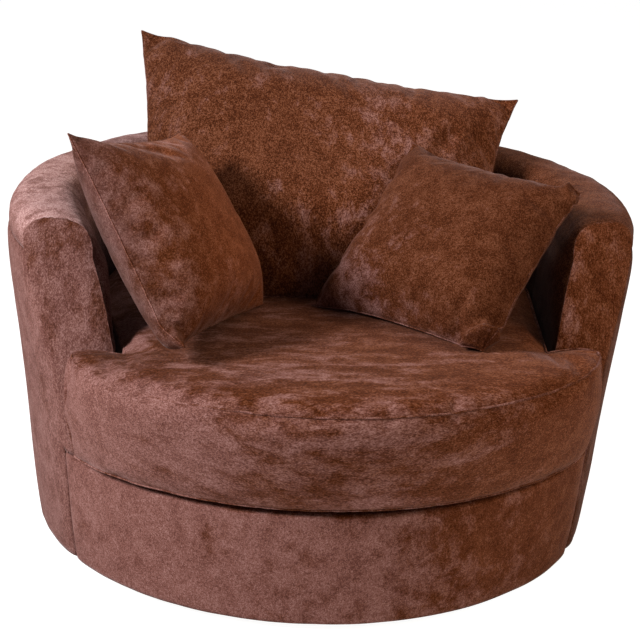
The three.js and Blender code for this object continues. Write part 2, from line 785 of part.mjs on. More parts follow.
function seatSurface(z, depth = 0) {
  const edge = inset(topLoop, depth);
  return (i, j) => {
    const k = seatLoop.findIndex(([a, b]) => a === i && b === j);
    const p = k < 0 ? seatPlan(i, j, 1) : edge[k];
    return new THREE.Vector3(p.x, p.y, z + (k < 0 ? crownAt(p) : 0));
  };
}

const seatTopPanel = addPiece('seat_top_panel', grid(seatRows, seatColumns, seatKeep,
  seatSurface(seatSeamHeight + coverThickness), seatSurface(seatSeamHeight),
), 'chenille');

const bottomPanelTop = seatBottom + coverThickness;
addPiece('seat_bottom_panel', new THREE.ExtrudeGeometry(new THREE.Shape(loopPlan(0)), {
  depth: coverThickness, bevelEnabled: false,
}).translate(0, 0, seatBottom), 'chenille');

// The border: a band round the cushion that swells out where nothing holds it
const borderLevels = [0, 0.3, 0.7, 1];
const borderLow = bottomPanelTop + seatGap;
const borderTop = seatSeamHeight - seatGap;
const visibleEdge = ([i, j]) => i < notchRow && (i === 0 || j === 0 || j === seatColumns);
function borderLoop(level, depth) {
  const swell = seatBorderBulge / 2 * Math.sin(Math.PI * level);
  const at = (end, k) => inset(loopPlan(end), visibleEdge(seatLoop[k]) ? depth - swell : depth)[k];
  return seatLoop.map((_, k) => at(0, k).lerp(at(1, k), level));
}
function band(levels, outerDepth, innerDepth) {
  const line = levels.map((level) => [level, outerDepth]).concat(
    [...levels].reverse().map((level) => [level, innerDepth]),
  );
  const loops = line.map(([level, depth]) => borderLoop(level, depth));
  const rings = seatLoop.map((_, k) => line.map(([level], i) => new THREE.Vector3(
    loops[i][k].x, loops[i][k].y, lerp(borderLow, borderTop, level),
  )));
  const size = rings[0].length;
  const triangles = [];
  rings.forEach((_, k) => {
    const beside = (k + 1) % rings.length;
    for (let i = 0; i < size; i++) {
      const next = (i + 1) % size;
      const [a, b] = [k * size + i, k * size + next];
      const [c, d] = [beside * size + next, beside * size + i];
      triangles.push(a, c, b, a, d, c);
    }
  });
  return fromTriangles(rings.flat(), triangles);
}
addPiece('seat_border', band(borderLevels, 0, coverThickness), 'chenille');

const coreInset = cavityGap + coreEase;
const coreEdge = inset(loopPlan(0), coreInset);
const coreBottom = (i, j) => {
  const k = seatLoop.findIndex(([a, b]) => a === i && b === j);
  const p = k < 0 ? seatPlan(i, j, 0) : coreEdge[k];
  return new THREE.Vector3(p.x, p.y, borderLow);
};
addPiece('seat_core', grid(seatRows, seatColumns, seatKeep,
  seatSurface(seatSeamHeight - 2 * seatGap, coreInset), coreBottom), 'foam');

// Pillows: two cover panels sewn round a fibre core, with a zip in the bottom seam. Each panel
// and the core lie on one grid, so that they nest. Local axes: x across, y up, z to the front.

const even = (k) => Math.sin(Math.PI / 2 * (2 * k / pillowSteps - 1));

function pillowSurface(size, u, v) {
  const { pullShares: pull } = size;
  const up = (v + 1) / 2;
  const halfWidth = lerp(size.footWidth, size.topWidth, up) / 2;
  const height = lerp(size.leftHeight, size.rightHeight, (u + 1) / 2);
  const sidePull = (u < 0 ? pull.left : pull.right) * (1 - v ** 2);
  const lowLift = pull.bottom * (1 - u ** 2);
  const topDrop = pull.top * (1 - u ** 2);
  const swell = ((1 - u ** 2) * (1 - v ** 2)) ** pillowCrownPower;
  return {
    x: u * halfWidth * (1 - sidePull) + size.offset * up,
    y: height * lerp(lowLift, 1 - topDrop, up),
    half: size.thickness / 2 * swell,
  };
}

function pillowSheet(size, side, height, first = 0) {
  return (i, j) => {
    const p = pillowSurface(size, even(j + first), even(i + first));
    return new THREE.Vector3(p.x, p.y, side * height(p.half));
  };
}

function pillowZip(size) {
  const rings = [];
  for (let j = zipSteps; j <= pillowSteps - zipSteps; j++) {
    const p = pillowSurface(size, even(j), -1);
    const [near, far] = [p.y - seatGap, p.y - seatGap - zipThickness];
    rings.push([
      new THREE.Vector3(p.x, far, zipWidth / 2), new THREE.Vector3(p.x, near, zipWidth / 2),
      new THREE.Vector3(p.x, near, -zipWidth / 2), new THREE.Vector3(p.x, far, -zipWidth / 2),
    ]);
  }
  return loft(rings, () => [point(1, 0), point(1, 1), point(0, 1), point(0, 0)]);
}

// Lowers a pillow, or lifts it, until its foot lies one fit above the seat cushion's top
function settle(group, seat) {
  chair.updateMatrixWorld(true);
  const caster = new THREE.Raycaster();
  const down = new THREE.Vector3(0, 0, -1);
  const heights = [];
  group.traverse((mesh) => {
    if (!mesh.isMesh) return;
    const { position } = mesh.geometry.attributes;
    for (let k = 0; k < position.count; k++) {
      const p = new THREE.Vector3().fromBufferAttribute(position, k).applyMatrix4(mesh.matrixWorld);
      caster.set(p, down);
      const [hit] = caster.intersectObject(seat);
      if (hit) heights.push(hit.distance);
    }
  });
  group.position.z -= Math.min(...heights) - seatGap;
}

function makePillow(name, size, seat) {
  const outer = (half) => seatGap / 2 + Math.max(half, coverThickness);
  const inner = (half) => seatGap / 2 + Math.max(half - coverThickness, 0);
  const filled = (half) => inner(half) - seatGap;
  const all = () => true;
  const sheets = (steps, near, far, first = 0) => grid(steps, steps, all, ...[near, far].map(
    ([side, height]) => pillowSheet(size, side, height, first),
  ));
  const turned = new THREE.Group();
  const rolled = new THREE.Group();
  addPiece(`${name}_front`, sheets(pillowSteps, [1, outer], [1, inner]), 'chenille', rolled);
  addPiece(`${name}_back`, sheets(pillowSteps, [-1, inner], [-1, outer]), 'chenille', rolled);
  addPiece(`${name}_core`, sheets(pillowSteps - 2, [1, filled], [-1, filled], 1), 'fibre', rolled);
  addPiece(`${name}_zip`, pillowZip(size), 'nylon', rolled);
  rolled.rotation.z = size.roll;
  turned.add(rolled);
  turned.rotation.order = 'ZXY';
  turned.rotation.set(Math.PI / 2 - size.lean, 0, size.turn);
  const { x, y } = size.footShares;
  turned.position.set(insideRadius * x, insideRadius * y, seatSeamHeight + size.footWidth / 2);
  chair.add(turned);
  settle(turned, seat);
}

makePillow('back_pillow', backPillow, seatTopPanel);
makePillow('left_scatter', leftScatter, seatTopPanel);
makePillow('right_scatter', rightScatter, seatTopPanel);

export default chair;
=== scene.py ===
import math

import bpy
import numpy as np
from mathutils import Matrix, Vector
from mathutils.bvhtree import BVHTree
from mathutils.kdtree import KDTree


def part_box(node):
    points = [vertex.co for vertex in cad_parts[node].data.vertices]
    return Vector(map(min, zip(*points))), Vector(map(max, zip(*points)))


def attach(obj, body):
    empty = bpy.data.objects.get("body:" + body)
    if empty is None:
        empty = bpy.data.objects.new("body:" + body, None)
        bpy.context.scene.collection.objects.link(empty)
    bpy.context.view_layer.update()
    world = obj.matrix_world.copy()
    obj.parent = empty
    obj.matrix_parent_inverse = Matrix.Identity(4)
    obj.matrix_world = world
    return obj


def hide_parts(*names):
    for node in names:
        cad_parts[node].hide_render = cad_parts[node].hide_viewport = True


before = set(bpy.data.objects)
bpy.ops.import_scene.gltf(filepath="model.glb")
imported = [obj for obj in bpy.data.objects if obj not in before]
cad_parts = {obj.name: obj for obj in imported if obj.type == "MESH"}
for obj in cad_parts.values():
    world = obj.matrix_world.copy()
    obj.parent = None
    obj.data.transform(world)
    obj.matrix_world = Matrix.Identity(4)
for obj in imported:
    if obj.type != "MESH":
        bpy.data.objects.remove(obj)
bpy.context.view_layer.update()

# The turntable: a round plywood board on four nylon glides, and two zinc-plated steel races with
# caged balls between them. Six pan-head screws hold the races to the boards above and below.

def add_node(tree, kind, inputs=None, **settings):
    """A node with its settings; inputs gives each socket a value or a socket to link from."""
    made = tree.nodes.new(kind)
    for name, value in settings.items():
        setattr(made, name, value)
    for key, value in (inputs or {}).items():
        if isinstance(value, bpy.types.NodeSocket):
            tree.links.new(value, made.inputs[key])
        else:
            made.inputs[key].default_value = value
    return made


def new_finish(name, **fixed):
    """A material with its Principled BSDF; fixed gives the sockets that are the same all over."""
    material = bpy.data.materials.new(name)
    material.use_nodes = True
    tree = material.node_tree
    surface = tree.nodes["Principled BSDF"]
    for key, value in fixed.items():
        surface.inputs[key.replace("_", " ")].default_value = value
    return material, tree, surface


def ramp(tree, factor, stops):
    """A colour ramp through (position, colour) stops."""
    made = add_node(tree, "ShaderNodeValToRGB", {"Fac": factor})
    elements = made.color_ramp.elements
    elements[0].position, elements[0].color = stops[0][0], (*stops[0][1], 1)
    elements[1].position, elements[1].color = stops[-1][0], (*stops[-1][1], 1)
    for position, colour in stops[1:-1]:
        elements.new(position).color = (*colour, 1)
    return made.outputs["Color"]


def figure(tree, operation, *inputs, **settings):
    """The result of a Math node."""
    made = add_node(tree, "ShaderNodeMath", dict(enumerate(inputs)), operation=operation, **settings)
    return made.outputs[0]


def relief(tree, surface, height, strength, distance):
    """Bumps a surface with a height."""
    bump = add_node(tree, "ShaderNodeBump", {"Height": height, "Strength": strength, "Distance": distance})
    tree.links.new(bump.outputs["Normal"], surface.inputs["Normal"])


def zinc_steel():
    material, tree, surface = new_finish("zinc_steel", Metallic=1.0, Roughness=0.34)
    coords = add_node(tree, "ShaderNodeTexCoord").outputs["Object"]
    cloud = add_node(tree, "ShaderNodeTexNoise", {"Vector": coords, "Scale": 90.0, "Detail": 4.0})
    colour = ramp(tree, cloud.outputs["Fac"], [(0.3, (0.42, 0.43, 0.44)), (0.7, (0.56, 0.57, 0.58))])
    tree.links.new(colour, surface.inputs["Base Color"])
    rough = add_node(tree, "ShaderNodeMapRange", {
        "Value": cloud.outputs["Fac"], "From Min": 0.3, "From Max": 0.7, "To Min": 0.26, "To Max": 0.44})
    tree.links.new(rough.outputs["Result"], surface.inputs["Roughness"])
    relief(tree, surface, cloud.outputs["Fac"], 0.15, 0.0006)
    return material


def dark_nylon():
    material, tree, surface = new_finish("dark_nylon", Roughness=0.6, Specular_IOR_Level=0.2)
    coords = add_node(tree, "ShaderNodeTexCoord").outputs["Object"]
    grain = add_node(tree, "ShaderNodeTexNoise", {"Vector": coords, "Scale": 800.0, "Detail": 2.0})
    colour = ramp(tree, grain.outputs["Fac"], [
        (0.35, (0.012, 0.008, 0.007)), (0.7, (0.026, 0.017, 0.014))])
    tree.links.new(colour, surface.inputs["Base Color"])
    relief(tree, surface, grain.outputs["Fac"], 0.25, 0.0003)
    return material


def veneer_group():
    """Long wood grain along X: a colour mask and a height."""
    group = bpy.data.node_groups.new("veneer_grain", "ShaderNodeTree")
    face = group.interface
    face.new_socket("Vector", in_out="INPUT", socket_type="NodeSocketVector")
    face.new_socket("Rings", in_out="INPUT", socket_type="NodeSocketFloat").default_value = 14.0
    face.new_socket("Mask", in_out="OUTPUT", socket_type="NodeSocketFloat")
    face.new_socket("Height", in_out="OUTPUT", socket_type="NodeSocketFloat")
    given = add_node(group, "NodeGroupInput")
    long = add_node(group, "ShaderNodeMapping", {"Vector": given.outputs["Vector"], "Scale": (0.12, 1, 1)})
    drift = add_node(group, "ShaderNodeTexNoise", {
        "Vector": long.outputs["Vector"], "Scale": given.outputs["Rings"], "Detail": 3.0, "Distortion": 0.8})
    fibre = add_node(group, "ShaderNodeTexNoise", {
        "Vector": long.outputs["Vector"], "Scale": 260.0, "Detail": 4.0, "Roughness": 0.7})
    both = figure(group, "ADD", drift.outputs["Fac"], fibre.outputs["Fac"])
    half = figure(group, "MULTIPLY", both, 0.5)
    add_node(group, "NodeGroupOutput", {"Mask": half, "Height": fibre.outputs["Fac"]})
    return group


veneer = veneer_group()


def wood(name, stops, rings, roughness):
    material, tree, surface = new_finish(name, Roughness=roughness)
    coords = add_node(tree, "ShaderNodeTexCoord").outputs["Object"]
    grain = add_node(tree, "ShaderNodeGroup", node_tree=veneer)
    grain.inputs["Rings"].default_value = rings
    tree.links.new(coords, grain.inputs["Vector"])
    tree.links.new(ramp(tree, grain.outputs["Mask"], stops), surface.inputs["Base Color"])
    relief(tree, surface, grain.outputs["Height"], 0.3, 0.0006)
    return material


steel, nylon = zinc_steel(), dark_nylon()
birch = wood("birch_ply", [(0.36, (0.42, 0.25, 0.11)), (0.5, (0.6, 0.4, 0.2)), (0.66, (0.68, 0.48, 0.27))],
             rings=12.0, roughness=0.6)


def give(material, names):
    for name in names:
        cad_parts[name].data.materials.clear()
        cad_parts[name].data.materials.append(material)


give(birch, ["floor_board"])
give(nylon, [f"glide_{k}" for k in range(1, 5)])
give(steel, ["bearing_lower_race", "bearing_upper_race", "caged_balls"]
     + [f"{race}_race_screw_{k}" for race in ("lower", "upper") for k in range(1, 4)])

# The tub's frame: plywood boards and bent rails, five ribs and two arm posts, lined inside and out
# with thin hardboard. Five sinuous springs cross the deck ring.

hardboard = wood("hardboard", [(0.4, (0.16, 0.085, 0.04)), (0.62, (0.27, 0.15, 0.075))],
                 rings=60.0, roughness=0.7)
give(birch, ["bottom_board", "deck_ring", "front_rail", "back_rail", "top_rail",
             "arm_post_left", "arm_post_right"] + [f"wall_rib_{k}" for k in range(1, 6)])
give(hardboard, ["outer_panel", "inner_panel"])
give(steel, [f"seat_spring_{k}" for k in range(1, 6)])

# The deck pad: grey needled felt laid over the springs, with a rounded edge and faint dents where
# the springs press through.

def mesh_piece(name, points, faces, smooth=True):
    """A piece from arrays of points and faces, at the origin."""
    data = bpy.data.meshes.new(name)
    data.from_pydata([tuple(p) for p in points], [], [tuple(f) for f in faces])
    data.validate()
    if smooth:
        data.shade_smooth()
    piece = bpy.data.objects.new(name, data)
    bpy.context.scene.collection.objects.link(piece)
    return piece


def felt():
    material, tree, surface = new_finish("needled_felt", Roughness=0.95, Sheen_Weight=0.2)
    coords = add_node(tree, "ShaderNodeTexCoord").outputs["Object"]
    fibre = add_node(tree, "ShaderNodeTexNoise", {
        "Vector": coords, "Scale": 420.0, "Detail": 6.0, "Roughness": 0.75, "Distortion": 1.5})
    colour = ramp(tree, fibre.outputs["Fac"], [
        (0.35, (0.08, 0.075, 0.07)), (0.5, (0.16, 0.15, 0.14)), (0.68, (0.3, 0.27, 0.24))])
    tree.links.new(colour, surface.inputs["Base Color"])
    relief(tree, surface, fibre.outputs["Fac"], 0.6, 0.0015)
    return material


pad_low, pad_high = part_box("deck_pad")
pad_turns, pad_rings = 96, 22
pad_reach, pad_nose, nose_angle, nose_fade = 0.43, 0.092, math.radians(50), 0.08
spring_pitch, spring_dent = 0.1, 0.0012
tub_centre = 0.026


def deck_pad():
    angles = np.linspace(0, 2 * math.pi, pad_turns, endpoint=False)
    front = np.clip((np.cos(angles) - math.cos(nose_angle)) / nose_fade, 0, 1)
    reach = pad_reach + pad_nose * front * front * (3 - 2 * front)
    shares = [0.02 + 0.965 * k / pad_rings for k in range(pad_rings + 1)] + [0.995, 1.0, 0.995, 0.985]
    lifts = [1.0] * (pad_rings + 1) + [0.85, 0.5, 0.15, 0.0]
    shares += [0.7, 0.35, 0.02]
    lifts += [0.0, 0.0, 0.0]
    points = []
    for share, lift in zip(shares, lifts):
        x, y = share * reach * np.sin(angles), tub_centre - share * reach * np.cos(angles)
        aside = x / spring_pitch - np.round(x / spring_pitch)
        dents = spring_dent * np.exp(-(aside * 5) ** 2) * (lift > 0.9)
        z = pad_low.z + lift * (pad_high.z - pad_low.z) - dents
        points += list(zip(x, y, z))
    faces = []
    for k in range(len(shares) - 1):
        for i in range(pad_turns):
            a, b = k * pad_turns + i, k * pad_turns + (i + 1) % pad_turns
            faces.append((a, a + pad_turns, b + pad_turns, b))
    faces.append(tuple(range(pad_turns)))
    faces.append(tuple(range((len(shares) - 1) * pad_turns, len(shares) * pad_turns))[::-1])
    return mesh_piece("deck_felt", points, faces)


deck_felt = deck_pad()
deck_felt.data.materials.append(felt())
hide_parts("deck_pad")
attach(deck_felt, "seat_frame")

# The outer cover: chenille pulled round the sides and the back of the tub from the hem to the roll.
# Its front edges run down beside the arm facings and end in the seams of the base front.

roll_height, rail_height = 0.612, 0.672
hem_height, base_top, seat_line = 0.015, 0.2425, 0.459
outside_heights = [hem_height, 0.14, 0.25, seat_line, roll_height]
outside_radii = [0.553, 0.568, 0.577, 0.598, 0.61]
outside_curve = np.polyfit(outside_heights, outside_radii, 4)
facing_sweep, facing_lean = math.radians(22), math.radians(17)
facing_knee, knee_softness = 0.44, 0.02
facing_inner = (0.402, -0.312)
facing_reach = (math.sin(facing_sweep) * facing_inner[0]
                - math.cos(facing_sweep) * (facing_inner[1] - tub_centre))
base_seam = math.radians(60)
seam_dip, seam_fade = 0.0042, 0.011
cover_inset, cover_wave = 0.0001, 0.0014


def facing_bend(z):
    """How far above its knee the front plane of the arm is at a height, with a soft start."""
    return knee_softness * np.log1p(np.exp((np.asarray(z) - facing_knee) / knee_softness))


def facing_start(radius, z):
    """The angle round the tub at which a wall point meets the front plane of the arm."""
    return facing_sweep + np.arccos((facing_reach - facing_bend(z) * math.tan(facing_lean)) / radius)


def around(phi, radius, z):
    """A point at an angle round the tub, from its front, at a radius and a height."""
    return np.stack([radius * np.sin(phi), tub_centre - radius * np.cos(phi), z + 0 * phi * radius], -1)


def ripple(points, scale, seed):
    """Smooth noise from -1 to 1 at each point, from a few fixed waves."""
    waves, gain = 14, 2.2
    rng = np.random.default_rng(seed)
    total = np.zeros(points.shape[:-1])
    for _ in range(waves):
        way = rng.normal(size=3)
        way /= np.linalg.norm(way)
        total += np.sin(points @ way * scale * rng.uniform(0.6, 1.6) + rng.uniform(0, 2 * math.pi))
    return total / waves * gain


def grid_faces(rows, columns):
    """Quads between rows of points."""
    return [(r * columns + c, r * columns + c + 1, (r + 1) * columns + c + 1, (r + 1) * columns + c)
            for r in range(rows - 1) for c in range(columns - 1)]


def chenille_group():
    """Crushed pile: patches that lie pink or rust, darker blotches and a fine grain, with inputs that paint a
    pinker sheen and a pale highlight.
    """
    group = bpy.data.node_groups.new("crushed_pile", "ShaderNodeTree")
    face = group.interface
    face.new_socket("Vector", in_out="INPUT", socket_type="NodeSocketVector")
    for name, value in [("Pink", 0.5), ("Patch", 7.0), ("Blotch", 30.0), ("Painted Sheen", 0.5), ("Tone", 1.0),
                        ("Grain", 1.0), ("Painted Highlight", 0.0), ("Crush", 1.0)]:
        face.new_socket(name, in_out="INPUT", socket_type="NodeSocketFloat").default_value = value
    face.new_socket("Color", in_out="OUTPUT", socket_type="NodeSocketColor")
    face.new_socket("Roughness", in_out="OUTPUT", socket_type="NodeSocketFloat")
    face.new_socket("Height", in_out="OUTPUT", socket_type="NodeSocketFloat")
    given = add_node(group, "NodeGroupInput")
    place = given.outputs["Vector"]

    def cloud(scale, detail, roughness, distortion):
        return add_node(group, "ShaderNodeTexNoise", {
            "Vector": place, "Scale": scale, "Detail": detail, "Roughness": roughness,
            "Distortion": distortion}).outputs["Fac"]

    def blend(value, base, factor):
        return figure(group, "MULTIPLY_ADD", value, factor, base)

    patch = cloud(given.outputs["Patch"], 6.0, 0.66, 0.3)
    blotch = cloud(given.outputs["Blotch"], 6.0, 0.7, 0.25)
    clump = cloud(230.0, 3.0, 0.7, 0.0)
    grain = cloud(520.0, 2.0, 0.6, 0.0)
    pink = blend(patch, given.outputs["Pink"], 2.1)
    marks = figure(group, "SUBTRACT", blotch, 0.5)
    marks = figure(group, "MULTIPLY", marks, given.outputs["Crush"])
    pink = blend(marks, pink, 2.6)
    pink = blend(clump, pink, 0.25)
    # Where the pile faces the key lamp at the left it is painted pinker: a painted sheen.
    pink = blend(given.outputs["Painted Sheen"], pink, 1.0)
    pink = add_node(group, "ShaderNodeMapRange", {
        "Value": pink, "From Min": 1.2, "From Max": 2.05}, interpolation_type="SMOOTHSTEP").outputs["Result"]
    fine = blend(grain, blend(clump, -1.25, 0.95), 1.55)
    fine = figure(group, "MULTIPLY", fine, given.outputs["Grain"])
    crush = add_node(group, "ShaderNodeMapRange", {
        "Value": marks, "From Min": -0.1, "From Max": 0.08, "To Min": 0.4, "To Max": 0.58}).outputs["Result"]
    tone = figure(group, "ADD", fine, crush)
    rust = ramp(group, tone, [(0.2, (0.046, 0.0108, 0.003)), (0.5, (0.115, 0.0305, 0.0098)),
                              (0.8, (0.235, 0.088, 0.044))])
    rose = ramp(group, tone, [(0.2, (0.105, 0.0375, 0.0285)), (0.5, (0.21, 0.087, 0.07)),
                              (0.8, (0.36, 0.19, 0.168))])
    # Pale greyish pink, mixed in where a painted highlight falls on upward faces.
    pale = ramp(group, tone, [(0.2, (0.2, 0.095, 0.084)), (0.5, (0.37, 0.2, 0.182)),
                              (0.8, (0.56, 0.37, 0.35))])
    dyed = add_node(group, "ShaderNodeMix", {"Factor": pink, 6: rust, 7: rose}, data_type="RGBA")
    shade = add_node(group, "ShaderNodeVectorMath", {
        0: dyed.outputs[2], "Scale": given.outputs["Tone"]}, operation="SCALE")
    painted_highlight = add_node(group, "ShaderNodeMapRange", {
        "Value": blotch, "From Min": 0.42, "From Max": 0.56, "To Min": 0.5, "To Max": 1.15})
    painted_highlight = figure(group, "MULTIPLY", painted_highlight.outputs["Result"], given.outputs["Painted Highlight"], use_clamp=True)
    colour = add_node(group, "ShaderNodeMix", {
        "Factor": painted_highlight, 6: shade.outputs["Vector"], 7: pale}, data_type="RGBA")
    rough = add_node(group, "ShaderNodeMapRange", {
        "Value": blotch, "From Min": 0.3, "From Max": 0.7, "To Min": 0.95, "To Max": 0.72})
    height = blend(grain, blend(clump, blend(blotch, 0.0, 0.8), 0.5), 0.4)
    add_node(group, "NodeGroupOutput", {
        "Color": colour.outputs[2], "Roughness": rough.outputs["Result"], "Height": height})
    return group


crushed_pile = chenille_group()
# The way toward the key lamp at the left. Pile that faces it gets a painted pinker sheen.
key_lamp_side = (-0.6, -0.35, 0.0)


def chenille(name, pink, stretch=(1, 1, 1), patch=7.0, blotch=30.0, grain=1.0, painted_sheen=0.5, pinker=(0, 0, 0),
             tone=1.0, painted_shade_way=(0, 0, 0), crush=1.0, upper_crush=0.0, painted_highlight=0.0, paler=(0, 0, 0)):
    """One panel's chenille. stretch runs the streaks. One setting paints a pinker sheen where the pile faces
    the key lamp at the left; another paints light and shade along a direction over the chair.
    pinker and paler are directions in which the pink and a pale painted highlight change over the chair.
    Where it faces up, upper_crush marks it more and the painted highlight greys it."""
    material, tree, surface = new_finish(
        name, Sheen_Weight=0.12, Sheen_Roughness=0.35, Sheen_Tint=(1.0, 0.72, 0.7, 1),
        Specular_IOR_Level=0.06)
    coords = add_node(tree, "ShaderNodeTexCoord")
    place, facing = coords.outputs["Object"], coords.outputs["Normal"]
    placed = add_node(tree, "ShaderNodeMapping", {"Vector": place, "Scale": stretch})
    pile = add_node(tree, "ShaderNodeGroup", node_tree=crushed_pile)

    def toward(vector, way):
        along = add_node(tree, "ShaderNodeVectorMath", {0: vector, 1: way}, operation="DOT_PRODUCT")
        return along.outputs["Value"]

    faces_up = figure(tree, "MAXIMUM", toward(facing, (0, 0, 1)), 0.0)
    # Painted light and shade: the tone rises and falls along a direction over the chair, standing in for
    # where the lamps reach and where shadows fall.
    painted_shade_tone = add_node(tree, "ShaderNodeClamp", {
        "Value": figure(tree, "ADD", toward(place, painted_shade_way), tone), "Min": 0.3, "Max": 1.6})
    # Painted highlight: the pale mix grows where the cover faces up, and along a direction over the chair.
    whiter = figure(tree, "ADD", toward(place, paler), painted_highlight, use_clamp=True)
    tree.links.new(placed.outputs["Vector"], pile.inputs["Vector"])
    # Painted sheen: pinker where the pile faces the key lamp, plus a pink shift along a direction over the
    # chair.
    pinkness = figure(tree, "MULTIPLY_ADD", toward(facing, key_lamp_side), painted_sheen, toward(place, pinker))
    tree.links.new(pinkness, pile.inputs["Painted Sheen"])
    tree.links.new(painted_shade_tone.outputs["Result"], pile.inputs["Tone"])
    tree.links.new(figure(tree, "MULTIPLY_ADD", faces_up, upper_crush, crush), pile.inputs["Crush"])
    tree.links.new(figure(tree, "MULTIPLY", faces_up, whiter), pile.inputs["Painted Highlight"])
    for key, value in (("Pink", pink), ("Patch", patch), ("Blotch", blotch), ("Grain", grain)):
        pile.inputs[key].default_value = value
    tree.links.new(pile.outputs["Color"], surface.inputs["Base Color"])
    tree.links.new(pile.outputs["Roughness"], surface.inputs["Roughness"])
    relief(tree, surface, pile.outputs["Height"], 0.55, 0.0022)
    return material


def skin(piece, thickness=0.002):
    """Gives a cover its cloth thickness, on the inside."""
    shell = piece.modifiers.new("cloth_thickness", "SOLIDIFY")
    shell.thickness = thickness
    shell.offset = -1


def dress(piece, material, body, replaced):
    """Covers a piece and puts it in the place of its solids."""
    piece.data.materials.append(material)
    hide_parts(*replaced)
    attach(piece, body)


def outside_radius(z):
    return np.polyval(outside_curve, z)


def kept(points, faces):
    """Drops the points that no face uses."""
    used = sorted({k for face in faces for k in face})
    place = {k: n for n, k in enumerate(used)}
    return points[used], [tuple(place[k] for k in face) for face in faces]


cover_columns, flap_columns, cover_rows, base_rows = 321, 24, 60, 22


def pulled(radius, flat, swell, seam_seed, wave_scale, wave_seed):
    """The radius of a cover that is drawn in at its seams and swells between them."""
    radius = radius + seam_dip * swell * (1 + 0.2 * ripple(flat * [1, 1, 0.5], 90, seam_seed)) - cover_inset
    return radius + cover_wave * (1 + ripple(flat, wave_scale, wave_seed)) * swell


def outer_cover():
    low = np.linspace(hem_height, base_top + 0.0004, base_rows)
    z = np.concatenate([low, np.linspace(low[-1], roll_height - 0.0003, cover_rows - base_rows + 1)[1:]])
    beside = facing_start(outside_radius(z), z)
    knee = np.maximum(base_seam, beside + 0.03)[:, None]
    flap = np.linspace(0, 1, flap_columns + 1)[:-1]
    left = beside[:, None] + (knee - beside[:, None]) * flap[None, :]
    middle = knee + (2 * math.pi - 2 * knee) * np.linspace(0, 1, cover_columns)[None, :]
    phi = np.concatenate([left, middle, 2 * math.pi - left[:, ::-1]], axis=1)
    radius = outside_radius(z)[:, None] + 0 * phi
    level = z[:, None] + 0 * phi
    turn = np.minimum(phi, 2 * math.pi - phi)
    below = level <= base_top + 0.001
    start = np.where(below, base_seam, beside[:, None])
    edge = np.minimum((turn - start) * radius, roll_height - level)
    edge = np.where(~below & (turn < base_seam), np.minimum(edge, level - base_top), np.abs(edge))
    flat = around(phi, radius, level)
    swell = 1 - np.exp(-edge / seam_fade)
    points = around(phi, pulled(radius, flat, swell, 3, 13, 5), level).reshape(-1, 3)
    wide = phi.shape[1]
    faces = [face for face in grid_faces(len(z), wide)
             if face[0] // wide >= base_rows - 1 or flap_columns <= face[0] % wide < wide - flap_columns - 1]
    return mesh_piece("tub_outside", *kept(points, faces))


tub_outside = outer_cover()
skin(tub_outside)
# The outer cover is painted pinker where it faces the key lamp at the left: a painted sheen.
dress(tub_outside, chenille("chenille_outside", 0.3, (1, 1, 0.6), patch=6.0, painted_sheen=1.2, tone=0.67,
                            grain=0.9),
      "seat_frame", ["outer_cover"])

# The base front: a low curved chenille panel under the seat cushion. Its top turns in over the
# deck, and its two ends are sewn to the outer cover.

front_columns, front_rows, front_turn, front_lip = 221, 34, 9, 0.009


def base_front():
    z = np.linspace(hem_height, base_top - front_lip, front_rows)
    start = base_seam + 0.0002 + 0 * z
    radius = outside_radius(z)
    lip = [math.pi / 2 * k / front_turn for k in range(1, front_turn + 1)]
    z = np.concatenate([z, base_top - front_lip + front_lip * np.sin(lip), [base_top] * 4])
    radius = np.concatenate([radius, radius[-1] - front_lip * (1 - np.cos(lip)),
                             radius[-1] - front_lip - 0.015 * np.arange(1, 5)])
    start = np.concatenate([start, [start[-1]] * (front_turn + 4)])
    share = np.linspace(-1, 1, front_columns)
    phi = share[None, :] * start[:, None]
    wide = radius[:, None] + 0 * phi
    edge = (start[:, None] - np.abs(phi)) * wide
    flat = around(phi, wide, z[:, None])
    low = np.clip((base_top - z[:, None]) / 0.006, 0, 1)
    swell = (1 - np.exp(-edge / seam_fade)) * low
    points = around(phi, pulled(wide, flat, swell, 9, 14, 8), z[:, None]).reshape(-1, 3)
    return mesh_piece("base_front", points, grid_faces(len(z), front_columns))


front_panel = base_front()
skin(front_panel)
# The base front is painted darker and pinker toward the left: painted shade, and a painted sheen from the key
# lamp.
dress(front_panel, chenille("chenille_base", 0.25, (1, 1, 0.9), patch=6.0, blotch=26.0, painted_sheen=1.2,
                            pinker=(-0.4, 0, 0), tone=0.92, painted_shade_way=(0.35, 0, 0), grain=0.8, crush=0.75),
      "seat_frame", ["base_front_cover"])

# The inner cover: chenille from the seam on the outer edge of the rail, over the padded roll and
# down the inside of the tub to the deck. The wadding under it makes it swell a little.

inside_radius, inside_rail_radius, side_taper, roll_power = 0.441, 0.476, 0.115, 2.7
roll_rows, inside_rows, inner_columns = 44, 40, 361
deck_line, tuck_line, tuck_depth = 0.2428, 0.47, 0.006
corner_set, corner_fade = 0.003, 0.012
wall_bulge = 0.024


def inside_at(phi, z):
    """The inside radius of the tub, which opens toward the rail and straightens in the arms."""
    opening = inside_rail_radius - inside_radius
    plain = np.where(z < seat_line, inside_radius,
                     inside_radius + opening * (z - seat_line) / (roll_height - seat_line))
    front = np.cos(phi)
    straight = plain / (np.abs(np.sin(phi)) + side_taper * np.maximum(front, 0) + 1e-9)
    return np.where(front <= 0, plain, straight)


def squared(share):
    """Turns a sine or cosine into that of the roll's squared circle."""
    return np.sign(share) * np.abs(share) ** (2 / roll_power)


def roll_point(phi, angle):
    """Radius and height on the roll; angle runs from the outside over the top to the inside."""
    outer, inner = outside_radii[-1], inside_at(phi, roll_height)
    across, up = np.cos(angle), np.sin(angle)
    return ((outer + inner) / 2 + (outer - inner) / 2 * squared(across),
            roll_height + (rail_height - roll_height) * squared(up))


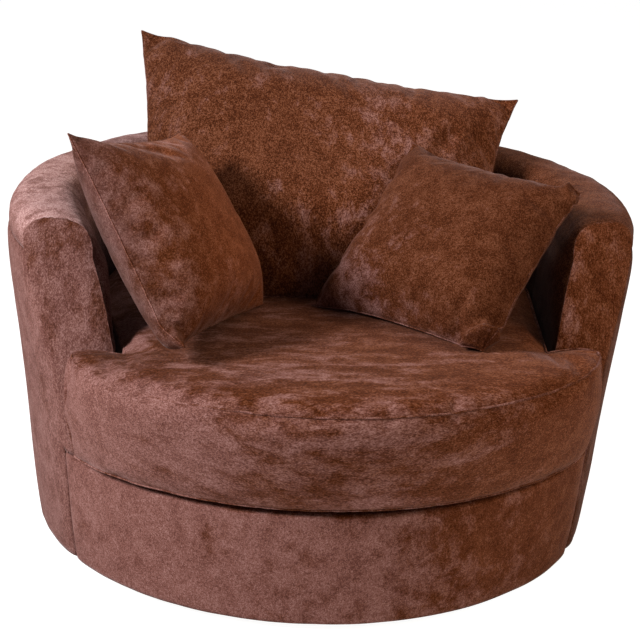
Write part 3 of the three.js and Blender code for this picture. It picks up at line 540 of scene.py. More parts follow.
def wall_line(phi, share):
    """The wall's line at an angle. Share is 0 at the outer seam, 1 at the top inside, 2 at the deck."""
    angle = np.clip(share, 0, 1) * math.pi
    radius, z = roll_point(phi, angle)
    down = np.clip(share - 1, 0, 1)
    z = np.where(share > 1, roll_height + (deck_line - roll_height) * down, z)
    free = np.clip((z - tuck_line) / (roll_height - tuck_line), 0, 1)
    radius = np.where(share > 1, inside_at(phi, z) - tuck_depth * np.sin(math.pi * free), radius)
    return radius, z


def wall_start(share):
    """Where each line of the wall meets the facing, found by halving."""
    low, high = np.full(share.shape, math.radians(35)), np.full(share.shape, math.radians(110))
    for _ in range(40):
        middle = (low + high) / 2
        radius, z = wall_line(middle, share)
        plane = radius * np.cos(middle - facing_sweep) + facing_bend(z) * math.tan(facing_lean)
        before = plane > facing_reach
        low, high = np.where(before, middle, low), np.where(before, high, middle)
    return (low + high) / 2


def wall_points(phi, share, sink):
    """Points of the inner cover, sunk into the wall by an amount."""
    radius, z = wall_line(phi, share)
    step = 0.004
    r0, z0 = wall_line(phi, np.clip(share - step, 0, 2))
    r1, z1 = wall_line(phi, np.clip(share + step, 0, 2))
    along = np.stack([r1 - r0, z1 - z0], -1)
    along /= np.linalg.norm(along, axis=-1, keepdims=True) + 1e-12
    return around(phi, radius - sink * along[..., 1], z + sink * along[..., 0])


def round_corner(points, edge, share):
    """Draws the front edge of the inside wall into the arm, along the facing."""
    amount = corner_set * np.exp(-edge / corner_fade) * (1 - on_roll(share))
    way = [math.cos(facing_sweep), math.sin(facing_sweep), 0]
    return points + amount[..., None] * way * np.stack([np.sign(points[..., 0]), 1 + 0 * edge, 0 * edge], -1)


def on_roll(share):
    """1 where the cover lies over the roll, fading to 0 down the inside."""
    return 1 - np.clip((share - 0.95) / 0.25, 0, 1)


def inner_cover():
    share = np.concatenate([(1 - np.cos(np.linspace(0, math.pi, roll_rows))) / 2 * 0.35
                            + np.linspace(0, 1, roll_rows) * 0.65,
                            1 + np.linspace(0, 1, inside_rows)[1:]])
    start = wall_start(share)
    across = np.linspace(0, 1, inner_columns)
    phi = start[:, None] + across[None, :] * (2 * math.pi - 2 * start)[:, None]
    wide = share[:, None] + 0 * phi
    edge = np.minimum(phi - start[:, None], 2 * math.pi - start[:, None] - phi) * 0.5
    rail = np.concatenate([[0], np.cumsum(np.linalg.norm(np.diff(
        np.stack(wall_line(np.full(share.shape, math.pi), share), -1), axis=0), axis=1))])
    front_edge = edge
    edge = np.minimum(edge, rail[:, None])
    flat = wall_points(phi, wide, 0)
    close = np.exp(-edge / seam_fade)
    sink = seam_dip * (close - on_roll(wide)) * (1 + 0.2 * ripple(flat, 110, 11))
    sink = sink - (0.0022 * ripple(flat, 16, 12) + 0.0008 * ripple(flat, 48, 13)) * (1 - close)
    rise = np.clip((flat[..., 2] - 0.475) / 0.1, 0, 1) * (1 - on_roll(wide + 0.12))
    sink = sink - wall_bulge * rise * (1 - np.exp(-front_edge / 0.025)) * np.exp(-(front_edge / 0.2) ** 2)
    gathers = 0.0011 * ripple(flat * [0.5, 1, 1], 170, 14)
    sink = sink + gathers * on_roll(wide) * np.exp(-edge / 0.09) * (1 - close)
    points = round_corner(wall_points(phi, wide, sink), front_edge, wide).reshape(-1, 3)
    return mesh_piece("tub_inside", points, grid_faces(len(share), inner_columns))


tub_inside = inner_cover()
skin(tub_inside)
# The inner cover is painted darker low down in the tub, a painted shade in its depths. It is painted pinker
# and paler on the upward faces at the left, a painted sheen and highlight from the key lamp.
dress(tub_inside, chenille("chenille_inside", 0.3, patch=7.0, painted_sheen=0.2, pinker=(-1.3, 0, 0), tone=-1.1,
                           painted_shade_way=(0, 0, 2.9), grain=1.3, painted_highlight=0.26, paler=(-1.4, 0, 0)),
      "seat_frame", ["inner_cover", "wall_foam"])

# The arm facings: one padded chenille panel on the front of each arm, sewn all round to the inner
# and outer covers with plain seams. It swells between the seams.

facing_rows, facing_columns = 64, 26
facing_swell, facing_fade = 0.0075, 0.013


def seam_finder(seam):
    """A tree that finds the nearest point of a seam."""
    tree = KDTree(len(seam))
    for k, p in enumerate(seam):
        tree.insert(p, k)
    tree.balance()
    return tree


def facing_panel(name, side):
    """One facing, from pairs of points on the seam at equal lengths from its two feet."""
    z = np.linspace(base_top, roll_height, 60)[:-1]
    outside = around(facing_start(outside_radius(z), z), outside_radius(z), z)
    share = np.linspace(0, 2, 160)
    inside = wall_points(wall_start(share), share, seam_dip * (1 - on_roll(share)))
    inside = round_corner(inside, 0 * share, share)
    seam = np.concatenate([outside, inside])
    length = np.concatenate([[0], np.cumsum(np.linalg.norm(np.diff(seam, axis=0), axis=1))])

    def at(share):
        """Points of the seam at shares of its length."""
        return np.stack([np.interp(share * length[-1], length, seam[:, k]) for k in range(3)], -1)

    rise = 0.5 * (1 - (1 - np.linspace(0, 1, facing_rows)) ** 1.5)
    across = (1 - np.cos(np.linspace(0, math.pi, facing_columns))) / 2
    left, right = at(rise)[:, None, :], at(1 - rise)[:, None, :]
    points = (left + (right - left) * across[None, :, None]).reshape(-1, 3)
    tree = seam_finder(seam)
    near = np.array([tree.find(p)[2] for p in points])
    bend = (points[:, 2] > facing_knee) * facing_lean
    ahead = np.stack([math.sin(facing_sweep) * np.cos(bend), -math.cos(facing_sweep) * np.cos(bend),
                      np.sin(bend)], -1)
    raised = facing_swell * (1 - np.exp(-(near / facing_fade) ** 1.2))
    raised = raised + 0.001 * ripple(points, 30, 21) * (near > 0.01)
    points = points + ahead * raised[:, None]
    faces = grid_faces(facing_rows, facing_columns)
    if side < 0:
        points = points * [-1, 1, 1]
        faces = [f[::-1] for f in faces]
    return mesh_piece(name, points, faces)


# The two facings are lit and shaded copies of one chenille. The left one is painted pink, a painted sheen
# from the key lamp at the left; the right one is painted plain rust, as in the lamp's shade.
facing_looks = {
    "left": chenille("chenille_facing_left", 1.75, (1, 1, 0.6), patch=9.0, pinker=(1.6, 0, -0.9),
                     tone=0.64, grain=0.95, crush=0.8),
    "right": chenille("chenille_facing_right", 0.0, (1, 1, 0.6), patch=9.0, tone=1.06, grain=1.0),
}
for side, name in ((-1, "left"), (1, "right")):
    facing = facing_panel(f"arm_facing_{name}", side)
    skin(facing)
    dress(facing, facing_looks[name], "seat_frame", [f"facing_cover_{name}", f"facing_pad_{name}"])

# The seat cushion: foam in a sewn chenille case, a T with lobes in front of the arms. Its border
# swells at the front, and pressure from the foam puffs the top between the seams.

seat_front, seat_set_back = -0.636, 0.078
seat_front_radii = (0.627, 0.5934)
seat_back_radius = 0.435
lobe_reach = (0.48, 0.49)
notch_x = 0.392
notch_bow = 0.095
seat_levels = (0.2545, seat_line)
seat_crown, seat_fall, crown_passes = 0.0205, 0.17, 240
top_limit, limit_blend = 0.4832, 0.006
seat_give, tucked_give, bottom_give = 0.009, 0.0015, 0.001


def rear_line(x):
    return facing_inner[1] - 0.0043 + math.tan(facing_sweep) * (x - facing_inner[0])


def seat_side(y):
    round_back = np.sqrt(np.maximum(seat_back_radius ** 2 - (y - tub_centre) ** 2, 0))
    return np.where(y > tub_centre, round_back, seat_back_radius - 0.1248 * (tub_centre - y))


def front_block(s, t, level):
    """Plan of the part in front of the arms; s from -2 to 2 across, t from the front to the rear."""
    reach = lobe_reach[0] + (lobe_reach[1] - lobe_reach[0]) * level
    wide = np.abs(s)
    x = np.where(wide <= 1, wide * notch_x, notch_x + (reach - notch_x) * (wide - 1))
    radius = seat_front_radii[0] + (seat_front_radii[1] - seat_front_radii[0]) * level
    front = seat_front + seat_set_back * (1 - level) + radius - np.sqrt(radius ** 2 - x ** 2)
    bow = notch_bow * np.clip(1 - (x / notch_x) ** 2, 0, 1)
    rear = rear_line(np.maximum(x, notch_x)) - bow
    tip = np.clip((wide - 1.35) / 0.65, 0, 1)
    trim = 0.42 * (rear - front) * (1 - np.sqrt(1 - 0.97 * tip ** 2))
    return np.stack([np.sign(s) * x, front + trim + (rear - front - 2 * trim) * t], -1)


def back_block(s, r):
    """Plan of the part between the arms; r runs from the notches to the back."""
    notch_y = rear_line(notch_x)
    end = notch_y + (tub_centre + seat_back_radius * math.cos(math.radians(35)) - notch_y) * r
    middle = notch_y - notch_bow + (tub_centre + seat_back_radius - notch_y + notch_bow) * r
    return np.stack([s * seat_side(end), middle + (end - middle) * s ** 2], -1)


def seat_case():
    """The case as one closed grid: a top, a bottom and a border between the two seams."""
    lobe, half, front_count, back_count, border_count = 15, 48, 27, 96, 22
    centre = np.linspace(-1, 1, 2 * half + 1)
    lobes = 1 + np.sin(np.linspace(0, math.pi / 2, lobe + 1))[1:]
    across = np.concatenate([-lobes[::-1], centre, lobes])
    ahead = np.linspace(0, 1, front_count + 1)
    behind = np.linspace(0, 1, back_count + 1)[1:]
    index, plan = {}, {0: [], 1: []}
    for i, t in enumerate(ahead):
        for j, s in enumerate(across):
            index[i, j] = len(plan[0])
            for level in (0, 1):
                plan[level].append(front_block(np.array(s), np.array(t), level))
    for i, r in enumerate(behind):
        for j, s in enumerate(centre):
            index[front_count + 1 + i, lobe + j] = len(plan[0])
            for level in (0, 1):
                plan[level].append(back_block(np.array(s), np.array(r)))
    low, high = np.array(plan[0]), np.array(plan[1])
    cells = [(i, j) for (i, j) in index
             if {(i + 1, j), (i, j + 1), (i + 1, j + 1)} <= set(index) and not (
                 i == front_count and (j < lobe or j >= lobe + 2 * half))]
    edges = {}
    for i, j in cells:
        ring = [index[i, j], index[i, j + 1], index[i + 1, j + 1], index[i + 1, j]]
        for a, b in zip(ring, ring[1:] + ring[:1]):
            if (b, a) in edges:
                del edges[b, a]
            else:
                edges[a, b] = True
    follow = {a: b for a, b in edges}
    loop = [next(iter(follow))]
    while len(loop) < len(follow):
        loop.append(follow[loop[-1]])
    loop = np.array(loop)
    rim = high[loop]
    away = np.min(np.linalg.norm(high[:, None, :] - rim[None, :, :], axis=2), axis=1)
    share = np.clip(away / seat_fall, 0, 1)
    crown = seat_crown * np.sqrt(1 - (1 - share) ** 2)
    crown = crown * (1 - 0.6 * np.clip((np.abs(high[:, 0]) - 0.33) / 0.12, 0, 1))
    pairs = np.array([(index[i, j], index[n]) for i, j in index
                      for n in ((i + 1, j), (i, j + 1)) if n in index])
    one, other = pairs.T
    beside = np.bincount(pairs.ravel(), minlength=len(crown))
    for _ in range(crown_passes):
        total = (np.bincount(one, crown[other], len(crown))
                 + np.bincount(other, crown[one], len(crown)))
        crown = 0.5 * crown + 0.5 * total / beside
        crown[loop] = 0
    top = np.column_stack([high, seat_levels[1] + crown])
    bottom = np.column_stack([low, np.full(len(low), seat_levels[0])])
    count = len(top)
    points = [top, bottom]
    faces = []
    for i, j in cells:
        ring = (index[i, j], index[i, j + 1], index[i + 1, j + 1], index[i + 1, j])
        faces.append(ring)
        faces.append(tuple(count + k for k in ring[::-1]))
    step = np.roll(rim, -1, axis=0) - np.roll(rim, 1, axis=0)
    out = np.column_stack([step[:, 1], -step[:, 0]])
    out /= np.linalg.norm(out, axis=1, keepdims=True)
    free = (rim[:, 1] < rear_line(np.abs(rim[:, 0])) - 0.012)
    rings = [count + loop]
    for k in range(1, border_count):
        rise = k / border_count
        swell = 0.007 * math.sin(math.pi * rise) * free[:, None]
        ring = low[loop] + (high[loop] - low[loop]) * rise + out * swell
        rings.append(2 * count + (k - 1) * len(loop) + np.arange(len(loop)))
        height = seat_levels[0] + rise * (seat_levels[1] - seat_levels[0])
        points.append(np.column_stack([ring, np.full(len(loop), height)]))
    rings.append(loop)
    for lower, upper in zip(rings, rings[1:]):
        for k in range(len(loop)):
            n = (k + 1) % len(loop)
            faces.append((lower[k], lower[n], upper[n], upper[k]))
    return np.vstack(points), faces, loop, count, out, free


def puff(name, points, faces, pressure, frames, slack=0.0, stiff=15.0, bend=0.5, mass=0.3, held=()):
    """Blows a closed case up with Cloth, and gives back where its points end. Held points stay."""
    piece = mesh_piece(name, points, faces)
    piece.vertex_groups.new(name="held").add([int(k) for k in held], 1.0, "REPLACE")
    cloth = piece.modifiers.new("cloth", "CLOTH")
    cloth.settings.quality = 5
    cloth.settings.mass = mass
    cloth.settings.air_damping = 2.0
    cloth.settings.tension_stiffness = cloth.settings.compression_stiffness = stiff
    cloth.settings.bending_stiffness = bend
    cloth.settings.shrink_min = -slack
    cloth.settings.use_pressure = True
    cloth.settings.uniform_pressure_force = pressure
    cloth.settings.effector_weights.gravity = 0
    cloth.settings.vertex_group_mass = "held"
    cloth.collision_settings.use_collision = False
    cloth.point_cache.frame_start, cloth.point_cache.frame_end = 1, frames
    for number in range(1, frames + 1):
        bpy.context.scene.frame_set(number)
    done = piece.evaluated_get(bpy.context.evaluated_depsgraph_get()).to_mesh()
    moved = np.zeros(len(done.vertices) * 3)
    done.vertices.foreach_get("co", moved)
    bpy.data.objects.remove(piece)
    bpy.context.scene.frame_set(1)
    return moved.reshape(-1, 3)


def seat_cushion():
    points, faces, loop, count, out, free = seat_case()
    moved = puff("seat_puff", points, faces, 3.0, 12, slack=0.01)
    shift = moved - points
    size = np.linalg.norm(shift, axis=1, keepdims=True)
    cap = np.full((len(points), 1), seat_give)
    tucked = points[loop][None, ~free, :2][:, ::2]
    held = np.min(np.linalg.norm(points[:, None, :2] - tucked, axis=2), axis=1)
    cap[held < 0.02] = tucked_give
    cap[count:2 * count] = bottom_give
    shift *= np.minimum(1, cap / np.maximum(size, 1e-9))
    points = points + shift
    tree = seam_finder(points[loop])
    found = [tree.find(p) for p in points]
    near = np.array([f[2] for f in found])
    which = np.array([f[1] for f in found])
    drawn = (0.0016 + 0.0009 * ripple(points, 90, 31))[:, None]
    points[:, :2] += -out[which] * drawn * np.exp(-near / 0.008)[:, None]
    points[:, 2] -= 0.0022 * np.exp(-near / 0.012) * (points[:, 2] > 0.44)
    rounder = np.clip((-0.2 - points[:, 0]) / 0.22, 0, 1) * np.clip((held - 0.01) / 0.07, 0, 1)
    edge_top = np.exp(-np.abs(points[:, 2] - seat_levels[1]) / 0.02) * (points[:, 2] > 0.3)
    points[:, :2] -= out[which] * (0.004 * rounder * edge_top * np.exp(-near / 0.02))[:, None]
    points[:, 2] -= 0.008 * rounder * np.exp(-near / 0.022) * edge_top
    upper = points[:, 2] > 0.45
    points[:, 2] += 0.0016 * ripple(points, 18, 33) * upper * np.clip(near / 0.05, 0, 1)
    face = (points[:, 2] > 0.27) & (points[:, 2] < 0.44) & (held > 0.03)
    points[:, 1] += 0.0014 * ripple(points, 20, 34) * face
    over = points[:, 2] - (top_limit - limit_blend)
    points[:, 2] = np.where(over > 0, top_limit - limit_blend * np.exp(-over / limit_blend), points[:, 2])
    piece = mesh_piece("seat_cushion_case", points, faces)
    leftward = np.clip((-0.16 - points[loop, 0]) / 0.2, 0, 1)[:, None]
    sunk = leftward * np.column_stack([out, np.ones(len(loop))])
    return piece, points[loop] - 0.0022 * sunk, points[count + loop]


seat_case_piece, top_seam, bottom_seam = seat_cushion()
# The seat case is painted pinker where it faces the key lamp and toward the left, a painted sheen, and darker
# toward the left, a painted shade.
dress(seat_case_piece, chenille("chenille_seat", 0.12, (0.5, 1.2, 1.1), patch=7.0, blotch=26.0, painted_sheen=0.9,
                                pinker=(-0.4, 0, 0), tone=0.95, painted_shade_way=(0.4, 0, 0), grain=0.95,
                                crush=0.65, upper_crush=0.5),
      "seat_cushion", ["seat_top_panel", "seat_bottom_panel", "seat_border", "seat_core"])

# The seams of the seat cushion: the case's panels are sewn with a narrow turned edge that stands
# a little proud along the top and the bottom of the border.

def seam_tree():
    """Geometry Nodes: a thin round lip along the given line."""
    tree = bpy.data.node_groups.new("sewn_lip", "GeometryNodeTree")
    tree.interface.new_socket("Geometry", in_out="INPUT", socket_type="NodeSocketGeometry")
    tree.interface.new_socket("Radius", in_out="INPUT", socket_type="NodeSocketFloat").default_value = 0.002
    tree.interface.new_socket("Material", in_out="INPUT", socket_type="NodeSocketMaterial")
    tree.interface.new_socket("Geometry", in_out="OUTPUT", socket_type="NodeSocketGeometry")
    given = add_node(tree, "NodeGroupInput")
    line = add_node(tree, "GeometryNodeMeshToCurve", {"Mesh": given.outputs["Geometry"]})
    round_line = add_node(tree, "GeometryNodeCurvePrimitiveCircle", {"Resolution": 8})
    tree.links.new(given.outputs["Radius"], round_line.inputs["Radius"])
    lip = add_node(tree, "GeometryNodeCurveToMesh", {
        "Curve": line.outputs["Curve"], "Profile Curve": round_line.outputs["Curve"], "Fill Caps": True})
    soft = add_node(tree, "GeometryNodeSetShadeSmooth", {"Geometry": lip.outputs["Mesh"]})
    real = add_node(tree, "GeometryNodeRealizeInstances", {"Geometry": soft.outputs["Geometry"]})
    coloured = add_node(tree, "GeometryNodeSetMaterial", {"Geometry": real.outputs["Geometry"]})
    tree.links.new(given.outputs["Material"], coloured.inputs["Material"])
    add_node(tree, "NodeGroupOutput", {"Geometry": coloured.outputs["Geometry"]})
    return tree


def made_by(tree, name, points, edges, settings):
    """Runs a tree on a line and keeps the result as a plain mesh."""
    data = bpy.data.meshes.new(name)
    data.from_pydata([tuple(p) for p in points], edges, [])
    piece = bpy.data.objects.new(name, data)
    bpy.context.scene.collection.objects.link(piece)
    nodes = piece.modifiers.new("made", "NODES")
    nodes.node_group = tree
    for item in tree.interface.items_tree:
        if item.item_type == "SOCKET" and item.in_out == "INPUT" and item.name in settings:
            nodes[item.identifier] = settings[item.name]
    bpy.context.view_layer.update()
    result = bpy.data.meshes.new_from_object(piece.evaluated_get(bpy.context.evaluated_depsgraph_get()))
    piece.modifiers.remove(nodes)
    piece.data = result
    return piece


def ring_edges(count):
    """The edges of a closed line."""
    return [(k, (k + 1) % count) for k in range(count)]


sewn_lip = seam_tree()
lip_chenille = chenille("chenille_seam", 0.3, tone=0.9)
for name, line, drop in (("top", top_seam, 0.002), ("bottom", bottom_seam, -0.0004)):
    seam = made_by(sewn_lip, f"seat_seam_{name}", line + [0, 0, drop], ring_edges(len(line)),
                   {"Radius": 0.0019, "Material": lip_chenille})
    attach(seam, "seat_cushion")

# The back cushion: two chenille panels sewn round a loose fibre filling. It lies back in the tub,
# fuller at its foot, and its upper corners stand up as ears beside the rail.

def even(count):
    """Places from -1 to 1 that lie a little closer toward the ends."""
    plain = np.linspace(-1, 1, count + 1)
    return 0.6 * np.sin(plain * math.pi / 2) + 0.4 * plain


def sewn_case(size):
    """Two panels on one grid, joined round the edge: points, faces, each point's place, the edge."""
    columns, rows = size["cells"]
    u, v = np.meshgrid(even(columns), even(rows))
    up, pull = (v + 1) / 2, size["pull"]
    half = (size["foot_width"] + (size["top_width"] - size["foot_width"]) * up) / 2
    height = size["heights"][0] + (size["heights"][1] - size["heights"][0]) * (u + 1) / 2
    side = np.where(u < 0, pull["left"], pull["right"]) * (1 - np.abs(v) ** 3)
    lift, drop = (pull[key] * (1 - np.abs(u) ** 3) for key in ("bottom", "top"))
    swell = ((1 - np.abs(u) ** 2.3) * (1 - np.abs(v) ** 2.3)) ** size["fullness"] * size["thickness"] / 2
    sheet = np.stack([u * half * (1 - side) + size["offset"] * up,
                      height * (lift + (1 - drop - lift) * up), swell], -1)
    front = np.arange(u.size).reshape(u.shape)
    inner = np.zeros(u.shape, bool)
    inner[1:-1, 1:-1] = True
    back = front.copy()
    back[inner] = u.size + np.arange(inner.sum())
    points = np.concatenate([sheet.reshape(-1, 3), sheet[inner] * [1, 1, -1]])
    place = np.concatenate([np.stack([u, v], -1).reshape(-1, 2), np.stack([u[inner], v[inner]], -1)])
    faces = []
    for i in range(rows):
        for j in range(columns):
            faces.append((front[i, j], front[i, j + 1], front[i + 1, j + 1], front[i + 1, j]))
            faces.append((back[i, j], back[i + 1, j], back[i + 1, j + 1], back[i, j + 1]))
    edge = [*front[0, :-1], *front[:-1, -1], *front[-1, :0:-1], *front[:0:-1, 0]]
    return points, [tuple(int(k) for k in face) for face in faces], place, edge


def crease(points, place, marks):
    """Presses soft grooves into the front. A mark is two places, a depth and a width."""
    for (u0, v0), (u1, v1), depth, width in marks:
        along = np.array([u1 - u0, v1 - v0])
        share = np.clip(((place - [u0, v0]) @ along) / (along @ along), 0, 1)
        away = np.linalg.norm(place - [u0, v0] - share[:, None] * along, axis=1)
        fade = np.sin(math.pi * np.clip(share * 0.8 + 0.1, 0, 1))
        points[:, 2] -= np.where(points[:, 2] > 0, 1, 0) * depth * fade * np.exp(-(away / width) ** 2)
    return points


def ear_start(points, tip, length):
    """The way out to a corner, and the point on it where the ear starts."""
    middle = points.mean(axis=0)
    out = np.array([tip[0] - middle[0], tip[1] - middle[1], 0])
    out /= np.linalg.norm(out)
    return out, tip - out * length


def fold_ear(points, tip, length, angle, radius, side):
    """Bends a corner over along a round fold; side 1 folds it to the front, -1 to the back."""
    out, start = ear_start(points, tip, length)
    reach = (points - start) @ out
    beyond = reach > 0
    height = points[:, 2].copy()
    turn = np.minimum(reach / radius, angle)
    rest = reach - turn * radius
    bow = radius - side * height
    new_out = bow * np.sin(turn) + rest * np.cos(turn)
    new_up = side * (radius - bow * np.cos(turn) + rest * np.sin(turn))
    moved = points + out * (new_out - reach)[:, None]
    moved[:, 2] = new_up
    points[beyond] = moved[beyond]
    return points


def knob_ear(points, tip, length, short, hump):
    """Pushes a corner back into a round knob, with a groove behind it."""
    out, start = ear_start(points, tip, length)
    beyond = (points - start) @ out
    share = np.clip(beyond / length, 0, 1)
    side = np.array([-out[1], out[0], 0])
    offset = (points - start) @ side
    points = points - out * (share ** 1.4 * length * short)[:, None]
    points += side * (0.5 * offset * np.sin(math.pi * np.clip(share, 0.25, 1)) * (share > 0.25))[:, None]
    front = points[:, 2] > -0.001
    points[:, 2] += hump * np.sin(math.pi * share ** 0.8) * front
    points[:, 2] -= 0.5 * hump * np.exp(-((beyond + 0.004) / 0.016) ** 2) * front
    return points


slump_place, slump_spread = 0.62, 0.45


def cushion_form(name, size):
    """A stuffed cushion in its own plane: blown up with its seam held, then creased and folded."""
    points, faces, place, edge = sewn_case(size)
    moved = puff(f"{name}_puff", points, faces, size["pressure"], size["frames"], slack=size["slack"],
                 bend=size["bend"], mass=0.2, held=edge)
    shift = moved - points
    reach = np.linalg.norm(shift, axis=1, keepdims=True)
    points = points + shift * np.minimum(1, size["give"] / np.maximum(reach, 1e-9))
    fuller = 1 + size["slump"] * np.exp(-((place[:, 1] + slump_place) / slump_spread) ** 2)
    points[:, 2] *= np.where(points[:, 2] > 0, fuller, 1)
    points[:, 2] += size["wave"] * ripple(points * [1, 1, 0.3], 22, 41) * (1 - np.abs(place).max(axis=1) ** 6)
    edge_share = np.exp(-((1 - np.abs(place).max(axis=1)) / 0.05) ** 2)
    points[:, 1] += 0.0016 * edge_share * ripple(points * [1, 0.4, 0.3], 34, 43)
    points = crease(points, place, size["creases"])

    def tip(corner):
        return points[int(np.argmin(np.abs(place - corner).sum(1)))].copy()

    for corner, length, angle, radius, side in size["ears"]:
        points = fold_ear(points, tip(corner), length, math.radians(angle), radius, side)
    for corner, length, short, hump in size.get("knobs", []):
        points = knob_ear(points, tip(corner), length, short, hump)
    return points, faces, place, edge


rest_gap, rest_blend, hidden_seat = 0.0012, 0.004, 0.455


def laid(points, size, seat):
    """Turns a cushion into its place and sets it down until it rests softly on the seat."""
    turn, lean, roll = (math.radians(size[k]) for k in ("turn", "lean", "roll"))
    way = (Matrix.Rotation(turn, 3, "Z") @ Matrix.Rotation(math.pi / 2 - lean, 3, "X")
           @ Matrix.Rotation(roll, 3, "Z"))
    height = np.ptp(points[:, 1])
    points[:, 1] = points[:, 1] * (1 + size["reach"] / height) - size["reach"]
    points = points @ np.array(way).T + np.array([*size["foot"], 0.5])
    below = []
    for p in points:
        hit = seat.ray_cast((p[0], p[1], 0.8), (0, 0, -1))[0]
        below.append(hit.z if hit else hidden_seat)
    below = np.array(below) + rest_gap
    points[:, 2] += size["high"] - points[:, 2].max()
    above = points[:, 2] - below - rest_blend
    points[:, 2] = np.where(above < 0, below + rest_blend * np.exp(above / rest_blend), points[:, 2])
    return points


seat_top = BVHTree.FromPolygons([tuple(v.co) for v in seat_case_piece.data.vertices],
                                [tuple(p.vertices) for p in seat_case_piece.data.polygons])
back_size = {
    "top_width": 0.804, "foot_width": 0.69, "heights": (0.666, 0.494), "offset": 0.063,
    "thickness": 0.2,
    "pull": {"top": 0.03, "bottom": 0.012, "left": 0.035, "right": 0.085},
    "fullness": 0.5, "cells": (96, 76),
    "pressure": 5.0, "frames": 16, "slack": 0.03, "bend": 0.6, "give": 0.024, "slump": 0.3, "wave": 0.003,
    "turn": 0, "lean": 52, "roll": 0, "foot": (-0.015, -0.06), "reach": 0.034,
    "high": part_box("back_pillow_front")[1].z + 0.002,
    "creases": [((0.72, 0.42), (0.6, 0.06), 0.012, 0.05), ((0.9, 0.5), (0.78, 0.16), 0.008, 0.04),
                ((-0.3, 0.97), (-0.22, 0.7), 0.006, 0.05), ((0.25, 0.98), (0.3, 0.8), 0.006, 0.04)],
    "ears": [((-1, 1), 0.05, 8, 0.05, 1), ((1, 1), 0.05, 14, 0.05, 1)],
}
local, faces, place, edge = cushion_form("back", back_size)
points = laid(local, back_size, seat_top)
back_case = mesh_piece("back_cushion_case", points, faces)
# The back cushion is painted darker toward its lower left, a painted shadow of the left scatter cushion, and
# pinker toward its upper right.
dress(back_case, chenille("chenille_back", -0.3, (1, 0.6, 0.6), patch=6.0, painted_sheen=0.4, pinker=(0.5, 0, 0.3),
                          tone=0.68, painted_shade_way=(0.6, 0, 0.25), grain=1.4),
      "back_cushion", ["back_pillow_front", "back_pillow_back", "back_pillow_core"])


def smooth_once(piece, edge):
    """Subdivides a case once, and gives back where its seam comes to lie."""
    finer = piece.modifiers.new("finer", "SUBSURF")
    finer.levels = finer.render_levels = 1
    smoothed = piece.evaluated_get(bpy.context.evaluated_depsgraph_get()).to_mesh()
    return np.array([smoothed.vertices[int(k)].co for k in edge])


back_line = smooth_once(back_case, edge)
back_seam = made_by(sewn_lip, "back_cushion_seam", back_line, ring_edges(len(edge)),
                    {"Radius": 0.0016, "Material": lip_chenille})
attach(back_seam, "back_cushion")

# The scatter cushions: square chenille cases round a fibre filling, leaning on the arms and on the
# back cushion. Each has a plain seam all round and pointed corners.

scatter_sizes = {
    "left": {
        "top_width": 0.407, "foot_width": 0.407, "heights": (0.407, 0.362), "offset": 0.0,
        "thickness": 0.15,
        "pull": {"top": 0.05, "bottom": 0.04, "left": 0.035, "right": 0.04},
        "fullness": 0.5, "cells": (64, 64),
        "pressure": 6.0, "frames": 16, "slack": 0.018, "bend": 0.8,
        "give": 0.024, "slump": 0.15, "wave": 0.003,
        "turn": 66, "lean": 31, "roll": -6, "foot": (-0.222, -0.2875), "reach": 0.017,
        "high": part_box("left_scatter_front")[1].z,
        "creases": [((-0.3, 0.98), (0.05, 0.72), 0.014, 0.07), ((-0.05, 0.92), (0.2, 0.66), 0.008, 0.05),
                    ((-0.9, -0.9), (-0.6, -0.75), 0.01, 0.06)],
        "ears": [((-1, -1), 0.05, 40, 0.025, 1)],
    },
    "right": {
        "top_width": 0.401, "foot_width": 0.401, "heights": (0.398, 0.388), "offset": 0.0,
        "thickness": 0.15,
        "pull": {"top": 0.05, "bottom": 0.05, "left": 0.045, "right": 0.06},
        "fullness": 0.46, "cells": (64, 64),
        "pressure": 6.0, "frames": 16, "slack": 0.03, "bend": 0.3,
        "give": 0.024, "slump": 0.1, "wave": 0.002,
        "turn": -42.3, "lean": 48.6, "roll": -1.7, "foot": (0.1218, -0.2607), "reach": 0.017,
        "high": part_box("right_scatter_front")[1].z,
        "creases": [((-0.45, -0.62), (-0.38, -0.95), 0.008, 0.05),
                    ((-0.25, -0.7), (-0.2, -0.95), 0.006, 0.04),
                    ((0.62, -0.98), (0.66, -0.6), 0.012, 0.05), ((0.98, 0.55), (0.7, 0.62), 0.01, 0.05)],
        "ears": [((1, 1), 0.045, 15, 0.03, -1)],
        "knobs": [((1, -1), 0.06, 0.42, 0.02), ((1, 1), 0.035, 0.3, 0.008)],
    },
}
# The left scatter is painted pink and dark on its left half and tan and light on its right half: painted
# light and shade across its ridge. Both scatters are painted pinker toward their lower left, a painted sheen
# from the key lamp.
scatter_looks = {
    "left": chenille("chenille_scatter_left", 0.25, patch=7.0, painted_sheen=0.3, pinker=(-2.0, 0, -1.0), tone=0.86,
                     painted_shade_way=(6.0, 0, 3.0), grain=0.85, crush=0.7),
    "right": chenille("chenille_scatter_right", 0.85, patch=6.0, painted_sheen=0.3, pinker=(-0.9, 0, -1.3), tone=0.75),
}
for side, size in scatter_sizes.items():
    local, faces, place, edge = cushion_form(side, size)
    points = laid(local, size, seat_top)
    case = mesh_piece(f"{side}_scatter_case", points, faces)
    dress(case, scatter_looks[side], f"scatter_{side}",
          [f"{side}_scatter_{part}" for part in ("front", "back", "core")])
    line = smooth_once(case, edge)
    seam = made_by(sewn_lip, f"{side}_scatter_seam", line, ring_edges(len(edge)),
                   {"Radius": 0.0014, "Material": lip_chenille})
    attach(seam, f"scatter_{side}")

# The zips: dark nylon tapes in the foot seams of the three loose cushions.

give(nylon, ["back_pillow_zip", "left_scatter_zip", "right_scatter_zip"])

# The floor and the world behind it are plain and white to the camera, and the floor keeps a soft
# shadow. A strong lamp stands to the front left, a weaker one to the front right, a faint one above.

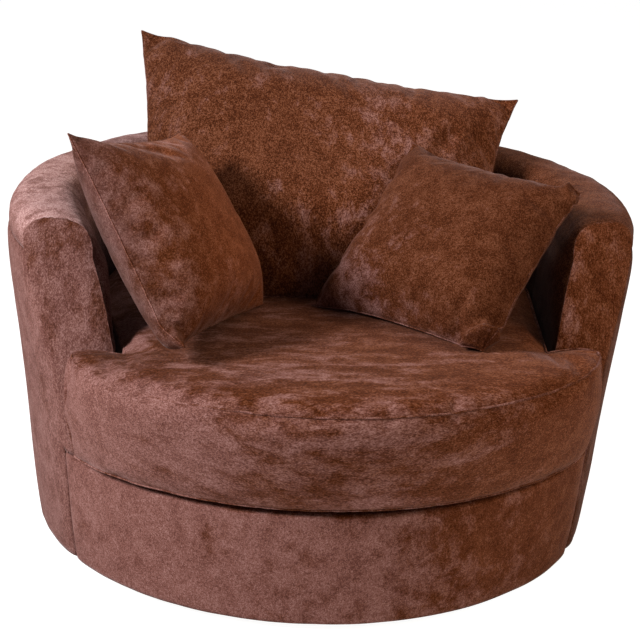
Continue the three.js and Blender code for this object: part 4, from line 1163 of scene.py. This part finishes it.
def seen_directly(tree):
    """1 for rays from the camera, a gloss or a glass, and 0 for light that falls on the object."""
    path = add_node(tree, "ShaderNodeLightPath")
    seen = figure(tree, "MAXIMUM", path.outputs["Is Camera Ray"], path.outputs["Is Glossy Ray"])
    return figure(tree, "MAXIMUM", seen, path.outputs["Is Transmission Ray"])


def floor_finish():
    material = bpy.data.materials.new("pale_floor")
    material.use_nodes = True
    tree = material.node_tree
    tree.nodes.clear()
    paint = add_node(tree, "ShaderNodeBsdfDiffuse", {"Color": (0.86, 0.86, 0.86, 1)})
    seen_paint = add_node(tree, "ShaderNodeBsdfDiffuse", {"Color": (0.3, 0.3, 0.3, 1)})
    glow = add_node(tree, "ShaderNodeEmission", {"Color": (1, 1, 1, 1), "Strength": 0.96})
    white = add_node(tree, "ShaderNodeAddShader", {0: seen_paint.outputs[0], 1: glow.outputs[0]})
    mixed = add_node(tree, "ShaderNodeMixShader", {
        0: seen_directly(tree), 1: paint.outputs["BSDF"], 2: white.outputs[0]})
    add_node(tree, "ShaderNodeOutputMaterial", {"Surface": mixed.outputs["Shader"]})
    return material


floor = mesh_piece("floor", [(-8, -6, 0), (8, -6, 0), (8, 10, 0), (-8, 10, 0)], [(0, 1, 2, 3)], smooth=False)
floor.data.materials.append(floor_finish())

world = bpy.data.worlds.new("pale_room")
bpy.context.scene.world = world
world.use_nodes = True
sky = world.node_tree
sky.nodes.clear()
level = add_node(sky, "ShaderNodeMapRange", {"Value": seen_directly(sky), "To Min": 0.08, "To Max": 1.0})
back = add_node(sky, "ShaderNodeBackground", {"Color": (1, 1, 1, 1), "Strength": level.outputs["Result"]})
add_node(sky, "ShaderNodeOutputWorld", {"Surface": back.outputs["Background"]})


def lamp(name, place, aim, size, power, colour):
    """A round lamp at a place, turned to its aim."""
    data = bpy.data.lights.new(name, "AREA")
    data.shape, data.size, data.energy, data.color = "DISK", size, power, colour
    made = bpy.data.objects.new(name, data)
    bpy.context.scene.collection.objects.link(made)
    made.location = place
    made.rotation_euler = (Vector(place) - Vector(aim)).to_track_quat("Z", "Y").to_euler()


lamp("key", (-3.15, -1.35, 2.55), (0, 0, 0.4), 1.0, 200, (1.0, 0.97, 0.98))
lamp("fill", (2.9, -1.9, 2.5), (0, 0, 0.4), 2.0, 62, (1.0, 0.8, 0.56))
lamp("top", (1.2, 0.8, 3.3), (0, 0, 0.5), 1.6, 16, (1.0, 0.92, 0.84))

# The camera stands a little to the left of the chair's front and above it, with a long lens.

eye = (-0.39773722, -3.26819082, 1.56783037)
forward = np.array([0.11460413, 0.93622264, -0.3321943])
roll = math.radians(2.388)
lens_data = bpy.data.cameras.new("camera")
lens_data.sensor_width, lens_data.lens = 36.0, 97.5
camera = bpy.data.objects.new("camera", lens_data)
bpy.context.scene.collection.objects.link(camera)
level_right = np.cross(forward, (0, 0, 1))
level_right /= np.linalg.norm(level_right)
level_up = np.cross(level_right, forward)
right = math.cos(roll) * level_right + math.sin(roll) * level_up
up = math.cos(roll) * level_up - math.sin(roll) * level_right
placed = Matrix([(*row, 0) for row in np.stack([right, up, -forward], 1)] + [(0, 0, 0, 1)])
camera.matrix_world = Matrix.Translation(eye) @ placed
bpy.context.scene.camera = camera
bpy.context.scene.view_settings.view_transform = "Standard"
